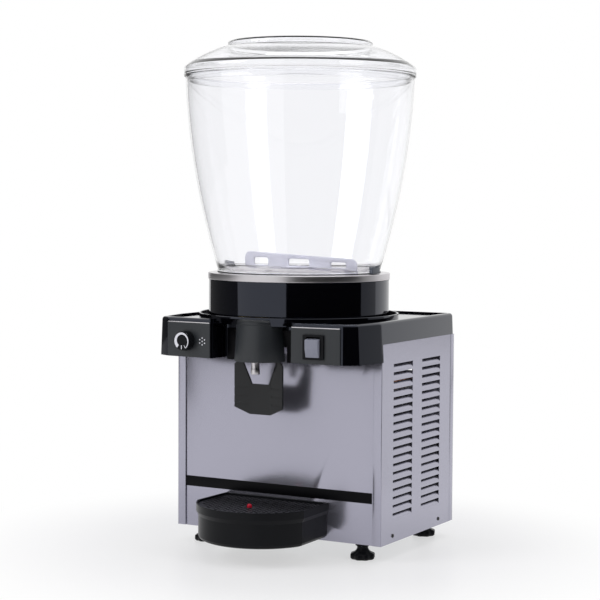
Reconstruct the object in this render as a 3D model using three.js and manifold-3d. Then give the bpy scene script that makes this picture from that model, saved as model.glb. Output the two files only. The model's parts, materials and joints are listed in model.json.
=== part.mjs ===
// A cold drink dispenser: a clear bowl on a chilled steel plate, over a steel cabinet with louvred sides.
// Millimetres, Z up. The front faces -Y, the ground is z = 0, and x = 0 is the middle plane.
// The pieces are placed from the cabinet's front plane, and the whole is centred on its own box at the end.
import * as THREE from "three";
import { mergeVertices } from "three/addons/utils/BufferGeometryUtils.js";
import Module from "manifold-3d";

const wasm = await Module();
wasm.setup();

// Fits
const seatGap = 0.3; // between a piece and what it rests on
const runGap = 0.6; // round what turns or slides
const overrun = 2; // how far a cutting shape passes the face that it opens
const weldStep = 0.001;

// Cabinet
const cabinetWidth = 344;
const cabinetDepth = 245;
const footHeight = 24;
const sideHeight = 288.5;
const sheet = 1.2; // steel sheet
const postLeg = 13.4;
const frontRecess = 1.5;
const deckThickness = 2;

// Base pan
const panThickness = 2;
const panLip = 18;
const footInsetX = 39;
const footInsetY = 20;
const studRadius = 4;
const studGap = 0.5;

// Feet
const footRadius = 17.5;
const footEdge = 2;
const footDisc = 7;
const footNeckRadius = 9;
const footNeckStart = 13;
const footCollarRadius = 10.5;
const footCollar = 4;
const footStud = 14; // above the pan's underside
const footLobeCount = 8;
const footLobeStepCount = 2;
const footLobeShare = 0.05;

// Louvres in the side panels
const louvreRowCount = 19;
const louvreColumnCount = 2;
const louvrePitch = 12;
const louvreLength = 57;
const louvreSlot = 5;
const louvreTop = 30; // from the panel's top edge to the first row
const louvreColumnPitch = 94.5;
const louvreDip = 4.2; // how far the blade is pressed in
const louvreBlade = 7.4; // height of the pressed strip
const sideScrewInset = 38;
const sideScrewHeight = 10;
const screwRadius = 3;
const screwHead = 1.6;
const screwShank = 1.7;
const screwLength = 7;
const screwSideCount = 6;

// Front panel and its black band
const bandHeight = 15.2;
const bandBottom = 60.1; // above the cabinet's bottom edge
const bandThickness = 0.8;
const bandEnd = 1.5; // bare steel past its right end

// Rear panel
const ventRowCount = 8;
const ventColumnCount = 2;
const ventLength = 90;
const ventHeight = 5;
const ventPitch = 13;
const ventTop = 60;
const ventColumnPitch = 120;
const glandRadius = 9;
const glandNutRadius = 11.5;
const glandBore = 4;
const glandLength = 8;
const glandInside = 8;
const glandFromSide = 52;
const glandZ = 48;
const nutSideCount = 6;

// Top cover
const coverOverhang = 2.4;
const coverSideHeight = 31.5;
const coverFrontHeight = 57;
const coverWall = 3;
const coverRim = 4.5;
const coverRecess = 8;
const coverFloor = 3;
const coverBevel = 3.5;
const coverCorner = 9;
const coverCornerCount = 4;
const panelInnerHalf = 66; // plan of the front, from the middle plane and the cabinet's front
const panelInnerDepth = 75;
const panelOuterHalf = 144;
const panelOuterDepth = 70;
const facetHalf = 164.5;
const facetDepth = 59.5;
const taperDepth = 5;
const bayHalf = 62;
const bayDepth = 41;
const gutterRadius = 148.5;
const gutterWall = 2.5;
const gutterRise = 5;
const drumSeat = 10; // width of the floor under the drum

// Control panels
const plateThickness = 2;
const plateInset = 1;
const plateLedge = 6; // below the cover's top
const knobRadius = 14.5;
const knobTipRadius = 13.9;
const knobDepth = 13;
const knobShaftRadius = 3;
const knobShaftDepth = 12;
const knobFromCentre = -3;
const controlHeight = 24; // above the cover's front edge
const bushRadius = 5.5;
const thermostatWidth = 44;
const thermostatHeight = 34;
const thermostatDepth = 26;
const bezelWidth = 32;
const bezelHeight = 35;
const bezelDepth = 3;
const switchWidth = 22.4;
const switchHeight = 30.4;
const switchDepth = 20;
const switchWall = 0.9;
const switchFromCentre = -2.5;
const rockerHeight = 26;
const rockerProud = 6.5;
const rockerBack = 3.5;
const rockerPivotDepth = 2;
const rockerDegrees = 8;

// Tap
const tapHousingThickness = 2.7;
const tapHousingHalf = 58;
const tapHousingDrop = 3; // below the cover's front edge
const tapHousingTop = 43; // above the cover's front edge
const tapCoverTopRadius = 30;
const tapCoverBottomRadius = 39;
const tapCoverHeight = 61;
const tapCoverBottomDrop = 2;
const tapCoverWall = 2.5;
const tapCoverCap = 7;
const tapCoverCapInset = 3.5;
const tapCoverCount = 16;
const nozzleSetout = 61; // in front of the cabinet
const nozzleRadius = 6.5;
const nozzleBore = 5;
const nozzleDrop = 20.5; // below the cover's front edge
const barrelRadius = 10;
const barrelBottom = 1; // above the cover's front edge
const barrelTop = 23;
const chamberRadius = 7.3;
const seatLevel = 10;
const seatThickness = 3;
const seatBore = 4.5;
const upperChamber = 7;
const stemRadius = 3;
const plungerDiscRadius = 6;
const plungerDisc = 1.5;
const plungerHead = 2;
const sealThickness = 1.2;
const springWire = 0.8;
const springRadius = 4.8;
const springTurnCount = 3;
const springHeight = 5.6;
const springStepCount = 8;
const springSideCount = 4;
const spigotRadius = 5;
const spigotBore = 3.5;
const pipeSetout = 20; // the outlet pipe, in front of the cabinet
const pipeBend = 12;

// Lever
const leverSetout = 50;
const leverHalf = 40;
const leverCentreHalf = 17;
const leverDish = 5;
const leverThickness = 3;
const leverBottom = 80; // below the cover's front edge
const leverChamfer = 10;
const leverShoulder = 8; // below the cover's front edge
const leverRoomHalf = 42;
const leverRoomRise = 19; // above the cover's front edge
const leverHeadHalf = 23.5;
const leverNeckRise = 9; // above the cover's front edge
const leverPivotRise = 34;
const leverPivotRadius = 5;
const leverPinRadius = 2;
const leverWindowBottom = 36;
const leverWindowShoulder = 2;
const leverWindowBottomHalf = 14;
const leverWindowTopHalf = 28.5;
const leverWindowHeadHalf = 16.5;
const leverWindowTop = 24;
const leverRibCount = 3;
const leverRibPitch = 12;
const leverRibBottom = 66;
const leverGroove = 2;
const leverGrooveDepth = 0.8;
const fingerHalf = 5;
const fingerNose = 2.5;
const lugThickness = 3;
const lugHeight = 12;
const pinEnd = 1.2;

// Drum, steel plate and bowl
const bowlSetback = 64.7; // the bowl's axis, behind the cabinet's front
const drumRadius = 134;
const drumWall = 3;
const drumTopLevel = 54.5; // above the cover's top
const plateRadius = 135;
const plateSkirt = 10.3;
const plateSheet = 1.5;
const plateFloor = 2;
const drumNotchHalf = 52;
const drumNotch = 5.5; // above the cover's top
const gasketThickness = 1.6;
const gasketInner = 116;
const footOuter = 121.5;
const footLip = 7;
const footLipWidth = 6.5;
const bowlTopRadius = 169.4;
const bowlHeight = 288;
const bowlWall = 3;
const bowlStraightShare = 0.18;
const bowlCurvePower = 1.95;
const bowlStepCount = 6;
const bowlSideCount = 28;
const lidOverhang = 2.2; // past the bowl's rim
const lidBand = 17;
const lidBandRound = 4;
const lidOverlap = 2; // how far the band hangs below the bowl's rim
const lidWall = 2.5;
const lidGap = 1;
const lidSkirt = 10;
const lidShoulder = 5;
const lidRise = 28;
const lidDiscRadius = 107;
const lidDiscRise = 6.6;
const lidCrownShare = 0.12;
const catchLength = 22;
const catchWidth = 6;
const catchHeight = 10;
const catchTab = 4;
const catchTabLength = 10;
const catchTabThickness = 2.5;

// Paddle and its drive
const paddleHalf = 111;
const paddleThickness = 3;
const paddleGap = 1.2; // above the steel floor
const paddleTallHeight = 27.5;
const paddleLowHeight = 21;
const paddleCorner = 10;
const paddleCornerCount = 3;
const paddleDegrees = -12.4;
const paddleWindowBottom = 3.5;
const paddleWindowHeight = 15;
const paddleLowWindowHeight = 11.5;
const paddleWindowInner = 62;
const paddleWindowOuter = 92;
const paddleWindowMiddle = 21;
const paddleWindowCorner = 4;
const hubRadius = 10;
const hubHeight = 24;
const hubBaseRadius = 28;
const hubBase = 6;
const centrePinRadius = 4;
const centrePinHeight = 20;
const centrePinFlangeRadius = 7;
const magnetInner = 14;
const magnetOuter = 25;
const magnetThickness = 3;
const driveRadius = 27;
const driveThickness = 5;
const driveGap = 2;
const motorRadius = 33;
const motorHeight = 40;
const motorShaft = 3;
const motorShaftLength = 9;
const motorCollar = 4;
const bracketHalf = 45;
const bracketSheet = 2;
const bracketFoot = 15;
const bracketLength = 56;
const insulationInner = 72;
const insulationTopGap = 11;
const coilTube = 4;
const coilStart = 70;
const coilPitch = 30;
const coilTurnShare = 1.7;
const coilStepCount = 26;

// Refrigeration in the cabinet
const compressorFromSide = 100;
const compressorY = 150;
const compressorRadius = 62;
const compressorStretchShare = 1.2;
const compressorHeight = 150;
const compressorDome = 34;
const compressorSeam = 4;
const compressorSeamOut = 4;
const compressorPlate = 3;
const compressorMount = 10;
const compressorMountRadius = 9;
const compressorMountX = 50;
const compressorMountY = 62;
const relayWidth = 22;
const relayLength = 44;
const relayHeight = 52;
const relayLevel = 60;
const condenserFromSide = 28;
const condenserWidth = 26;
const condenserLength = 180;
const condenserHeight = 200;
const condenserLevel = 12;
const condenserEnd = 2;
const condenserFinCount = 5;
const condenserFin = 1;
const condenserTube = 4;
const condenserTubeSideCount = 6;
const condenserLegShare = 1 / 6;
const condenserLegHalf = 8;
const condenserTubeCount = 2;
const shroudDepth = 16;
const shroudWall = 2;
const fanOpening = 78;
const fanRadius = 73;
const fanHubRadius = 20;
const fanHubDepth = 14;
const fanBladeCount = 5;
const fanBladeThickness = 1.6;
const fanBladeDegrees = 28;
const fanBladeWidth = 38;
const fanMotorRadius = 24;
const fanMotorLength = 42;
const fanShaft = 3;
const fanArm = 8;
const fanArmThickness = 2;
const drierRadius = 9;
const drierLength = 80;
const drierNeck = 3.5;
const drierNeckLength = 16;
const tubeRadius = 3.2;
const tubeSideCount = 6;
const bendStepCount = 3;
const tubeBend = 18;

// Drip tray
const trayBackHalf = 87;
const trayFrontHalf = 88.5;
const trayArcRadius = 94;
const trayArcCentre = 43;
const trayBottom = 4; // above the cabinet's bottom edge
const trayHeight = 52;
const trayBand = 17;
const trayStep = 3;
const trayWall = 2.5;
const trayArcCount = 16;
const trayFloorBevel = 5;
const grilleSeat = 6; // below the rim
const grilleThickness = 3;
const grilleGap = 0.6;
const grilleSlot = 5;
const grillePitch = 11;
const grilleBar = 5;
const grilleMargin = 7;
const grilleSlotLength = 26;
const grilleSlotCount = 3; // to each side of the middle one
const floatRadius = 3.5;
const floatHoleGap = 0.8;
const floatSetout = 76;
const floatProud = 4.5;
const floatBodyRadius = 12;
const floatBody = 12;
const hookHalf = 50;
const hookWidth = 8;
const hookThickness = 2;
const hookShank = 6;
const hookDrop = 8;
const hookLevel = 36; // above the cabinet's bottom edge
const hookLift = 10;

// Turned shapes
const roundCount = 16;
const smallRoundCount = 10;

// Worked out from the sizes above
const cabinetBottom = footHeight;
const cabinetTop = cabinetBottom + sideHeight;
const coverTop = cabinetTop + coverSideHeight;
const coverFront = coverTop - coverFrontHeight;
const coverFloorTop = coverTop - coverRecess;
const drumTop = coverTop + drumTopLevel + plateSkirt;
const plateTop = drumTop;
const bowlBottom = plateTop + gasketThickness;
const bowlTop = bowlBottom + bowlHeight;
const halfWidth = cabinetWidth / 2;
const glandX = halfWidth - glandFromSide;
const compressorX = compressorFromSide - halfWidth;
const condenserX = halfWidth - condenserFromSide - condenserWidth;
const lidRadius = bowlTopRadius + lidOverhang;
const panelTop = cabinetTop - seatGap;
const deckTop = panelTop;
const deckBottom = deckTop - deckThickness;
const trayBack = frontRecess - bandThickness - seatGap;
const pivotZ = coverFront + leverPivotRise;
const spigotZ = coverFront + seatLevel + seatThickness + upperChamber / 2;
const fingerNoseZ = coverFront + barrelTop + springHeight + plungerHead + seatGap + fingerNose;
const frontFace = frontRecess + sheet;

const steel = finish(0xb9babd, 0.35, 0.9);
const darkSteel = finish(0x8d9096, 0.45, 0.8);
const gloss = finish(0x0c0d10, 0.12, 0);
const satin = finish(0x2b2d30, 0.5, 0);
const black = finish(0x101113, 0.4, 0);
const rubber = finish(0x17181a, 0.8, 0);
const clear = new THREE.MeshStandardMaterial({ color: 0xe9edf2, roughness: 0.05, transparent: true, opacity: 0.3 });
const paleGrey = finish(0xc9c9d4, 0.4, 0);
const white = finish(0xdfe0e2, 0.35, 0);
const red = finish(0xb01020, 0.3, 0);
const copper = finish(0xb46a3c, 0.35, 0.9);
const foam = finish(0xe6dfc4, 0.9, 0);
const clipGrey = finish(0x5b6068, 0.5, 0);

function finish(color, roughness, metalness) {
  return new THREE.MeshStandardMaterial({ color, roughness, metalness });
}

// A closed geometry as a solid, with its faces turned out.
function solidOf(geometry) {
  const bare = geometry.index ? geometry.toNonIndexed() : geometry.clone();
  for (const name of Object.keys(bare.attributes)) if (name !== "position") bare.deleteAttribute(name);
  const merged = mergeVertices(bare, weldStep);
  const index = merged.index.array;
  const kept = [];
  for (let i = 0; i < index.length; i += 3) {
    const [a, b, c] = [index[i], index[i + 1], index[i + 2]];
    if (a !== b && b !== c && c !== a) kept.push(a, b, c);
  }
  const place = merged.attributes.position.array;
  if (signedVolume(place, kept) < 0) {
    for (let i = 0; i < kept.length; i += 3) [kept[i + 1], kept[i + 2]] = [kept[i + 2], kept[i + 1]];
  }
  const mesh = new wasm.Mesh({ numProp: 3, vertProperties: place, triVerts: new Uint32Array(kept) });
  return new wasm.Manifold(mesh);
}

function signedVolume(place, index) {
  const corner = (i) => new THREE.Vector3().fromArray(place, index[i] * 3);
  let sum = 0;
  for (let i = 0; i < index.length; i += 3) sum += corner(i).dot(corner(i + 1).cross(corner(i + 2)));
  return sum;
}

function geometryOf(solid) {
  const mesh = solid.getMesh();
  const geometry = new THREE.BufferGeometry();
  geometry.setAttribute("position", new THREE.BufferAttribute(new Float32Array(mesh.vertProperties), 3));
  geometry.setIndex(new THREE.BufferAttribute(new Uint32Array(mesh.triVerts), 1));
  geometry.computeVertexNormals();
  return geometry;
}

function joined(solids) {
  return solids.reduce((sum, one) => sum.add(one));
}

function shapeOf(points) {
  return new THREE.Shape(points.map(([x, y]) => new THREE.Vector2(x, y)));
}

function prism(points, from, to, turn) {
  const geometry = new THREE.ExtrudeGeometry(shapeOf(points), { depth: to - from, bevelEnabled: false });
  return solidOf(geometry.translate(0, 0, from).applyMatrix4(turn));
}

// An outline carried from one place to another along its axis, with holes cut right through.
function extruded(points, from, to, holes, turn) {
  const body = prism(points, from, to, turn);
  if (!holes.length) return body;
  return body.subtract(joined(holes.map((hole) => prism(hole, from - overrun, to + overrun, turn))));
}

function turnOf(x, y, z) {
  return new THREE.Matrix4().makeBasis(new THREE.Vector3(...x), new THREE.Vector3(...y), new THREE.Vector3(...z));
}

const alongX = turnOf([0, 1, 0], [0, 0, 1], [1, 0, 0]);
const alongY = turnOf([1, 0, 0], [0, 0, 1], [0, -1, 0]);
const alongZ = new THREE.Matrix4();
const alongSide = turnOf([1, 0, 0], [0, 0, 1], [0, 1, 0]);

// A plan outline carried up from one height to another.
function extrudeZ(points, from, to, holes = []) {
  return extruded(points, from, to, holes, alongZ);
}

// A front view in x and z, carried from one depth to another.
function extrudeY(points, from, to, holes = []) {
  return extruded(points, -to, -from, holes, alongY);
}

// A side view in y and z, carried from one x to another.
function extrudeX(points, from, to, holes = []) {
  return extruded(points, from, to, holes, alongX);
}

const quarterTurn = 90; // degrees
const halfTurn = 2 * quarterTurn;
const fullTurn = 2 * halfTurn;

function rectangle(x0, y0, x1, y1) {
  return [[x0, y0], [x1, y0], [x1, y1], [x0, y1]];
}

function roundedRectangle(x0, y0, x1, y1, radius, count = 3) {
  const corners = [[x1 - radius, y0 + radius, -quarterTurn], [x1 - radius, y1 - radius, 0],
    [x0 + radius, y1 - radius, quarterTurn], [x0 + radius, y0 + radius, halfTurn]];
  return corners.flatMap(([x, y, start]) => arc(x, y, radius, start, start + quarterTurn, count));
}

function arc(x, y, radius, startDegrees, endDegrees, count) {
  return Array.from({ length: count + 1 }, (_, i) => {
    const angle = THREE.MathUtils.degToRad(startDegrees + ((endDegrees - startDegrees) * i) / count);
    return [x + radius * Math.cos(angle), y + radius * Math.sin(angle)];
  });
}

function circle(x, y, radius, count = roundCount) {
  return arc(x, y, radius, 0, fullTurn, count).slice(0, count);
}

function block(x0, y0, z0, x1, y1, z1) {
  return extrudeZ(rectangle(x0, y0, x1, y1), z0, z1);
}

function rod(x, y, radius, z0, z1, count = roundCount) {
  return extrudeZ(circle(x, y, radius, count), z0, z1);
}

// A profile of [radius, height] turned round the upright line through x and y.
function turned(profile, count = roundCount, x = 0, y = 0) {
  const geometry = new THREE.LatheGeometry(profile.map(([r, h]) => new THREE.Vector2(r, h)), count);
  return solidOf(geometry.rotateX(Math.PI / 2).translate(x, y, 0));
}

// A closed skin over loops of [x, y, z] with the same number of points.
function loft(loops, caps = flatCap(loops[0])) {
  const count = loops[0].length;
  const place = loops.flat(2);
  const index = [];
  for (let k = 0; k + 1 < loops.length; k++) {
    for (let i = 0; i < count; i++) {
      const j = (i + 1) % count;
      const [a, b, c, d] = [k * count + i, k * count + j, (k + 1) * count + j, (k + 1) * count + i];
      index.push(a, b, c, a, c, d);
    }
  }
  const last = (loops.length - 1) * count;
  for (const [a, b, c] of caps) index.push(c, b, a, last + a, last + b, last + c);
  const geometry = new THREE.BufferGeometry();
  geometry.setAttribute("position", new THREE.Float32BufferAttribute(place, 3));
  geometry.setIndex(index);
  return solidOf(geometry);
}

function flatCap(loop) {
  return THREE.ShapeUtils.triangulateShape(loop.map(([x, y]) => new THREE.Vector2(x, y)), []);
}

function atHeight(points, z) {
  return points.map(([x, y]) => [x, y, z]);
}

// An outline with its points moved inwards along their corners.
function inset(points, distance) {
  const count = points.length;
  return points.map(([x, y], i) => {
    const before = points[(i + count - 1) % count];
    const after = points[(i + 1) % count];
    const a = new THREE.Vector2(x - before[0], y - before[1]).normalize();
    const b = new THREE.Vector2(after[0] - x, after[1] - y).normalize();
    const scale = distance / (1 + a.dot(b));
    return [x + (-a.y - b.y) * scale, y + (a.x + b.x) * scale];
  });
}

function tube(points, radius, sideCount, stepCount) {
  const path = new THREE.CatmullRomCurve3(points.map((p) => new THREE.Vector3(...p)), false, "centripetal");
  const section = shapeOf(circle(0, 0, radius, sideCount));
  return solidOf(new THREE.ExtrudeGeometry(section, { steps: stepCount, extrudePath: path, bevelEnabled: false }));
}

// A pipe of straight runs, with a round bend at each corner.
function pipe(corners, radius, bend, sideCount = tubeSideCount) {
  const line = bentLine(corners.map((corner) => new THREE.Vector3(...corner)), bend);
  const tangents = line.map((point, i) => new THREE.Vector3().subVectors(
    line[Math.min(i + 1, line.length - 1)], line[Math.max(i - 1, 0)]).normalize());
  const across = new THREE.Vector3(tangents[0].z, tangents[0].x, tangents[0].y).cross(tangents[0]).normalize();
  const rings = line.map((point, i) => {
    across.addScaledVector(tangents[i], -across.dot(tangents[i])).normalize();
    const other = new THREE.Vector3().crossVectors(tangents[i], across);
    return circle(0, 0, radius, sideCount).map(([u, v]) =>
      point.clone().addScaledVector(across, u).addScaledVector(other, v).toArray());
  });
  return loft(rings, roundCap(sideCount));
}

function bentLine(corners, bend) {
  const points = [corners[0]];
  for (let i = 1; i + 1 < corners.length; i++) {
    const at = corners[i];
    const start = at.clone().add(corners[i - 1].clone().sub(at).setLength(bend));
    const end = at.clone().add(corners[i + 1].clone().sub(at).setLength(bend));
    points.push(...new THREE.QuadraticBezierCurve3(start, at, end).getPoints(bendStepCount));
  }
  return [...points, corners[corners.length - 1]];
}

function roundCap(count) {
  return Array.from({ length: count - 2 }, (_, i) => [0, i + 1, i + 2]);
}

function mirrored(points) {
  return points.map(([x, y]) => [-x, y]).reverse();
}

const dispenser = new THREE.Group();

function add(name, solid, material, parent = dispenser) {
  const mesh = new THREE.Mesh(geometryOf(solid), material);
  mesh.name = name;
  parent.add(mesh);
  return mesh;
}

// Cabinet

function basePan() {
  const x = halfWidth - sheet - sheet - seatGap - seatGap;
  const front = frontFace + seatGap;
  const back = cabinetDepth - sheet - seatGap;
  const outer = block(-x, front, cabinetBottom, x, back, cabinetBottom + panLip);
  const inner = block(-x + panThickness, front + panThickness, cabinetBottom + panThickness,
    x - panThickness, back - panThickness, cabinetBottom + panLip + overrun);
  const holes = footPlaces().map(([px, py]) =>
    rod(px, py, studRadius + studGap, cabinetBottom - overrun, cabinetBottom + panThickness + overrun, smallRoundCount));
  const screws = screwPlaces().map(([y, z]) =>
    extrudeX(circle(y, z, screwShank + runGap, screwSideCount), -halfWidth, halfWidth));
  return outer.subtract(joined([inner, ...holes, ...screws, ...postCorners()]));
}

// Room for the posts' legs at the pan's corners.
function postCorners() {
  const reach = postLeg + seatGap;
  const bottom = cabinetBottom - overrun;
  const top = cabinetBottom + panLip + overrun;
  return [-1, 1].flatMap((side) => {
    const [near, far] = [side * (halfWidth - sheet - sheet - seatGap - seatGap - sheet), side * halfWidth];
    const [low, high] = [Math.min(near, far), Math.max(near, far)];
    return [block(low, -overrun, bottom, high, reach, top),
      block(low, cabinetDepth - reach, bottom, high, cabinetDepth + overrun, top)];
  });
}

function footPlaces() {
  const x = halfWidth - footInsetX;
  return [[-x, footInsetY], [x, footInsetY], [-x, cabinetDepth - footInsetY], [x, cabinetDepth - footInsetY]];
}

function screwPlaces() {
  const z = cabinetBottom + sideScrewHeight;
  return [[sideScrewInset, z], [cabinetDepth - postLeg - sideScrewInset, z]];
}

// A front post shows its face, and has its side leg behind the side panel.
function frontPost(side) {
  const x = halfWidth;
  const inner = x - sheet - seatGap;
  const plan = [[x - postLeg, 0], [x - seatGap, 0], [x - seatGap, sheet / 2], [inner, sheet / 2],
    [inner, postLeg], [inner - sheet, postLeg], [inner - sheet, sheet], [x - postLeg, sheet]];
  return extrudeZ(side > 0 ? plan : mirrored(plan), cabinetBottom, deckBottom - seatGap);
}

function topDeck() {
  const x = halfWidth - sheet - seatGap;
  const front = frontFace + seatGap;
  const back = cabinetDepth - sheet - seatGap;
  const plate = block(-x, front, deckBottom, x, back, deckTop);
  const corners = [-1, 1].map((side) => {
    const [low, high] = side > 0 ? [halfWidth - postLeg - seatGap, halfWidth] : [-halfWidth, seatGap + postLeg - halfWidth];
    return block(low, cabinetDepth - postLeg - seatGap, deckBottom - overrun, high, cabinetDepth, deckTop + overrun);
  });
  const tubes = rod(suctionX, suctionY, tubeRadius + overrun, deckBottom - overrun, deckTop + overrun, smallRoundCount);
  return plate.subtract(joined([...corners, tubes]));
}

function frontPanel() {
  const x = halfWidth - postLeg - seatGap;
  const slots = [-hookHalf, hookHalf].map((centre) => rectangle(
    centre - hookWidth / 2 - runGap, cabinetBottom + hookLevel - runGap,
    centre + hookWidth / 2 + runGap, cabinetBottom + hookLevel + hookShank + hookLift + runGap));
  return extrudeY(rectangle(-x, cabinetBottom, x, panelTop), frontRecess, frontFace, slots);
}

function frontBand() {
  const x = halfWidth - postLeg - seatGap;
  const bottom = cabinetBottom + bandBottom;
  const front = frontRecess - bandThickness;
  return extrudeY(rectangle(-x, bottom, x - bandEnd, bottom + bandHeight), front, frontRecess);
}

function sidePanel(side) {
  const front = sheet / 2;
  const back = cabinetDepth - postLeg - seatGap;
  const middle = (front + back) / 2;
  const outline = rectangle(front, cabinetBottom, back, panelTop);
  const cuts = [];
  const blades = [];
  for (let column = 0; column < louvreColumnCount; column++) {
    const centre = middle + (column - (louvreColumnCount - 1) / 2) * louvreColumnPitch;
    for (let row = 0; row < louvreRowCount; row++) {
      const z = panelTop - louvreTop - row * louvrePitch;
      cuts.push(louvreHole(centre, z));
      blades.push(pressedBlade(centre, z));
    }
  }
  const holes = screwPlaces().map(([y, z]) => circle(y, z, screwShank + runGap, screwSideCount));
  const pierced = extrudeX(outline, halfWidth - sheet, halfWidth, [...cuts, ...holes]);
  const panel = joined([pierced, ...blades]);
  return side > 0 ? panel : panel.mirror([1, 0, 0]);
}

function louvreHole(y, z) {
  return rectangle(y - louvreLength / 2, z - louvreBlade, y + louvreLength / 2, z);
}

// The pressed strip: its foot lies on the opening's lower edge, and its upper edge is pushed in.
function pressedBlade(y, z) {
  const low = z - louvreBlade;
  const top = z - louvreSlot / 2;
  const [outer, inner] = [halfWidth, halfWidth - louvreDip];
  const section = [[outer - sheet, low], [outer, low], [inner, top], [inner - sheet, top]];
  return prism(section, y - louvreLength / 2, y + louvreLength / 2, alongSide);
}

// The rear panel is folded round both corners of the cabinet.
function rearPanel() {
  const [x, y] = [halfWidth, cabinetDepth];
  const half = [[x - sheet, y - sheet], [x - sheet, y - postLeg], [x, y - postLeg], [x, y]];
  const folded = extrudeZ([...half, ...mirrored(half)], cabinetBottom, panelTop);
  const cuts = [circle(glandX, cabinetBottom + glandZ, glandRadius + seatGap)];
  for (let column = 0; column < ventColumnCount; column++) {
    const centre = (column - (ventColumnCount - 1) / 2) * ventColumnPitch;
    for (let row = 0; row < ventRowCount; row++) {
      const z = panelTop - ventTop - row * ventPitch;
      cuts.push(rectangle(centre - ventLength / 2, z, centre + ventLength / 2, z + ventHeight));
    }
  }
  const through = cuts.map((cut) => extrudeY(cut, y - sheet - overrun, y + overrun));
  return folded.subtract(joined(through));
}

function cableGland() {
  const z = cabinetBottom + glandZ;
  const inside = cabinetDepth - sheet - glandInside;
  const nut = extrudeY(circle(glandX, z, glandNutRadius, nutSideCount), cabinetDepth + seatGap, cabinetDepth + glandLength / 2);
  const body = extrudeY(circle(glandX, z, glandRadius), inside, cabinetDepth + glandLength);
  const bore = extrudeY(circle(glandX, z, glandBore), inside - overrun, cabinetDepth + glandLength + overrun);
  return joined([nut, body]).subtract(bore);
}

function sideScrew(side, y, z) {
  const head = extrudeX(circle(y, z, screwRadius, smallRoundCount), halfWidth + seatGap / 2, halfWidth + screwHead);
  const shank = extrudeX(circle(y, z, screwShank, screwSideCount),
    halfWidth + seatGap / 2 - screwLength, halfWidth + screwHead);
  const screw = joined([head, shank]);
  return side > 0 ? screw : screw.mirror([1, 0, 0]);
}

// A levelling foot: a lobed disc, a neck and a stud that runs up through the pan.
function levellingFoot([x, y]) {
  const top = footHeight - seatGap;
  const count = footLobeCount * footLobeStepCount;
  const lobed = (radius, z) => Array.from({ length: count }, (_, i) => {
    const angle = (i / count) * 2 * Math.PI;
    const r = radius * (1 + footLobeShare * Math.cos(footLobeCount * angle));
    return [x + r * Math.cos(angle), y + r * Math.sin(angle), z];
  });
  const disc = loft([lobed(footRadius - footEdge, 0), lobed(footRadius, footEdge), lobed(footRadius, footDisc),
    lobed(footNeckRadius, footNeckStart)]);
  const neck = turned([[0, footNeckStart - footEdge], [footNeckRadius - footEdge, footNeckStart - footEdge],
    [footNeckRadius, top - footCollar], [footCollarRadius, top - footCollar], [footCollarRadius, top], [0, top]],
  smallRoundCount, x, y);
  const stud = rod(x, y, studRadius, footNeckStart, footHeight + footStud, smallRoundCount);
  return joined([disc, neck, stud]);
}

// Top cover

// Half of the front's plan, from the bay to the side, then mirrored and closed round the back.
function coverPlan() {
  const side = halfWidth + coverOverhang;
  const back = cabinetDepth + coverOverhang;
  const right = [[bayHalf, -bayDepth], [panelInnerHalf, -panelInnerDepth], [panelOuterHalf, -panelOuterDepth],
    [facetHalf, -facetDepth], [side, -taperDepth]];
  const corner = arc(side - coverCorner, back - coverCorner, coverCorner, 0, quarterTurn, coverCornerCount);
  return [...right, ...corner, ...mirrored([...right, ...corner])];
}

function topCover() {
  const plan = coverPlan();
  const shoulder = coverTop - coverBevel;
  const shell = loft([atHeight(plan, coverFront), atHeight(plan, shoulder),
    atHeight(inset(plan, coverBevel), coverTop)]);
  const hollow = extrudeZ(inset(plan, coverWall), coverFront - overrun, coverFloorTop - coverFloor);
  const recess = extrudeZ(inset(plan, coverRim + coverBevel), coverFloorTop, coverTop + overrun);
  const behind = block(-cabinetWidth, -seatGap, coverFront - overrun, cabinetWidth, cabinetDepth * 2, cabinetTop);
  const disc = rod(0, bowlSetback, gutterRadius, coverFloorTop - coverFloor, coverTop + gutterRise, bowlSideCount);
  const channel = rod(0, bowlSetback, gutterRadius - gutterWall, coverFloorTop, coverTop + gutterRise + overrun, bowlSideCount);
  const opening = rod(0, bowlSetback, drumRadius - drumSeat, coverFloorTop - coverFloor - overrun, coverTop, bowlSideCount);
  const notch = block(-drumNotchHalf, -gutterRadius, coverFloorTop - coverFloor - overrun,
    drumNotchHalf, -bayDepth, coverFront + tapCoverHeight - tapCoverBottomDrop + seatGap);
  const outlet = extrudeY(circle(0, spigotZ, spigotRadius + runGap, smallRoundCount), -panelInnerDepth, 0);
  const leverRoom = block(-leverRoomHalf, -panelInnerDepth, coverFront - overrun, leverRoomHalf, 0, coverFront + leverRoomRise);
  const body = shell.subtract(joined([hollow, recess, behind]));
  return joined([body, disc]).subtract(joined([channel, opening, notch, outlet, leverRoom, ...controlHoles()]));
}

// The turned frame of a control panel: its origin is on the cover's face, at the panel's middle.
function panelTurn(side) {
  const run = panelOuterHalf - panelInnerHalf;
  return side * Math.atan2(panelInnerDepth - panelOuterDepth, run);
}

function panelPlace(side) {
  return [side * (panelInnerHalf + panelOuterHalf) / 2, -(panelInnerDepth + panelOuterDepth) / 2];
}

function panelGroup(side) {
  const group = new THREE.Group();
  const [x, y] = panelPlace(side);
  group.position.set(x, y, coverFront);
  group.rotation.z = panelTurn(side);
  dispenser.add(group);
  return group;
}

function onPanel(solid, side) {
  const [x, y] = panelPlace(side);
  return solid.rotate([0, 0, THREE.MathUtils.radToDeg(panelTurn(side))]).translate([x, y, coverFront]);
}

function switchOutline(grow) {
  return rectangle(switchFromCentre - switchWidth / 2 - grow, controlHeight - switchHeight / 2 - grow,
    switchFromCentre + switchWidth / 2 + grow, controlHeight + switchHeight / 2 + grow);
}

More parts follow.
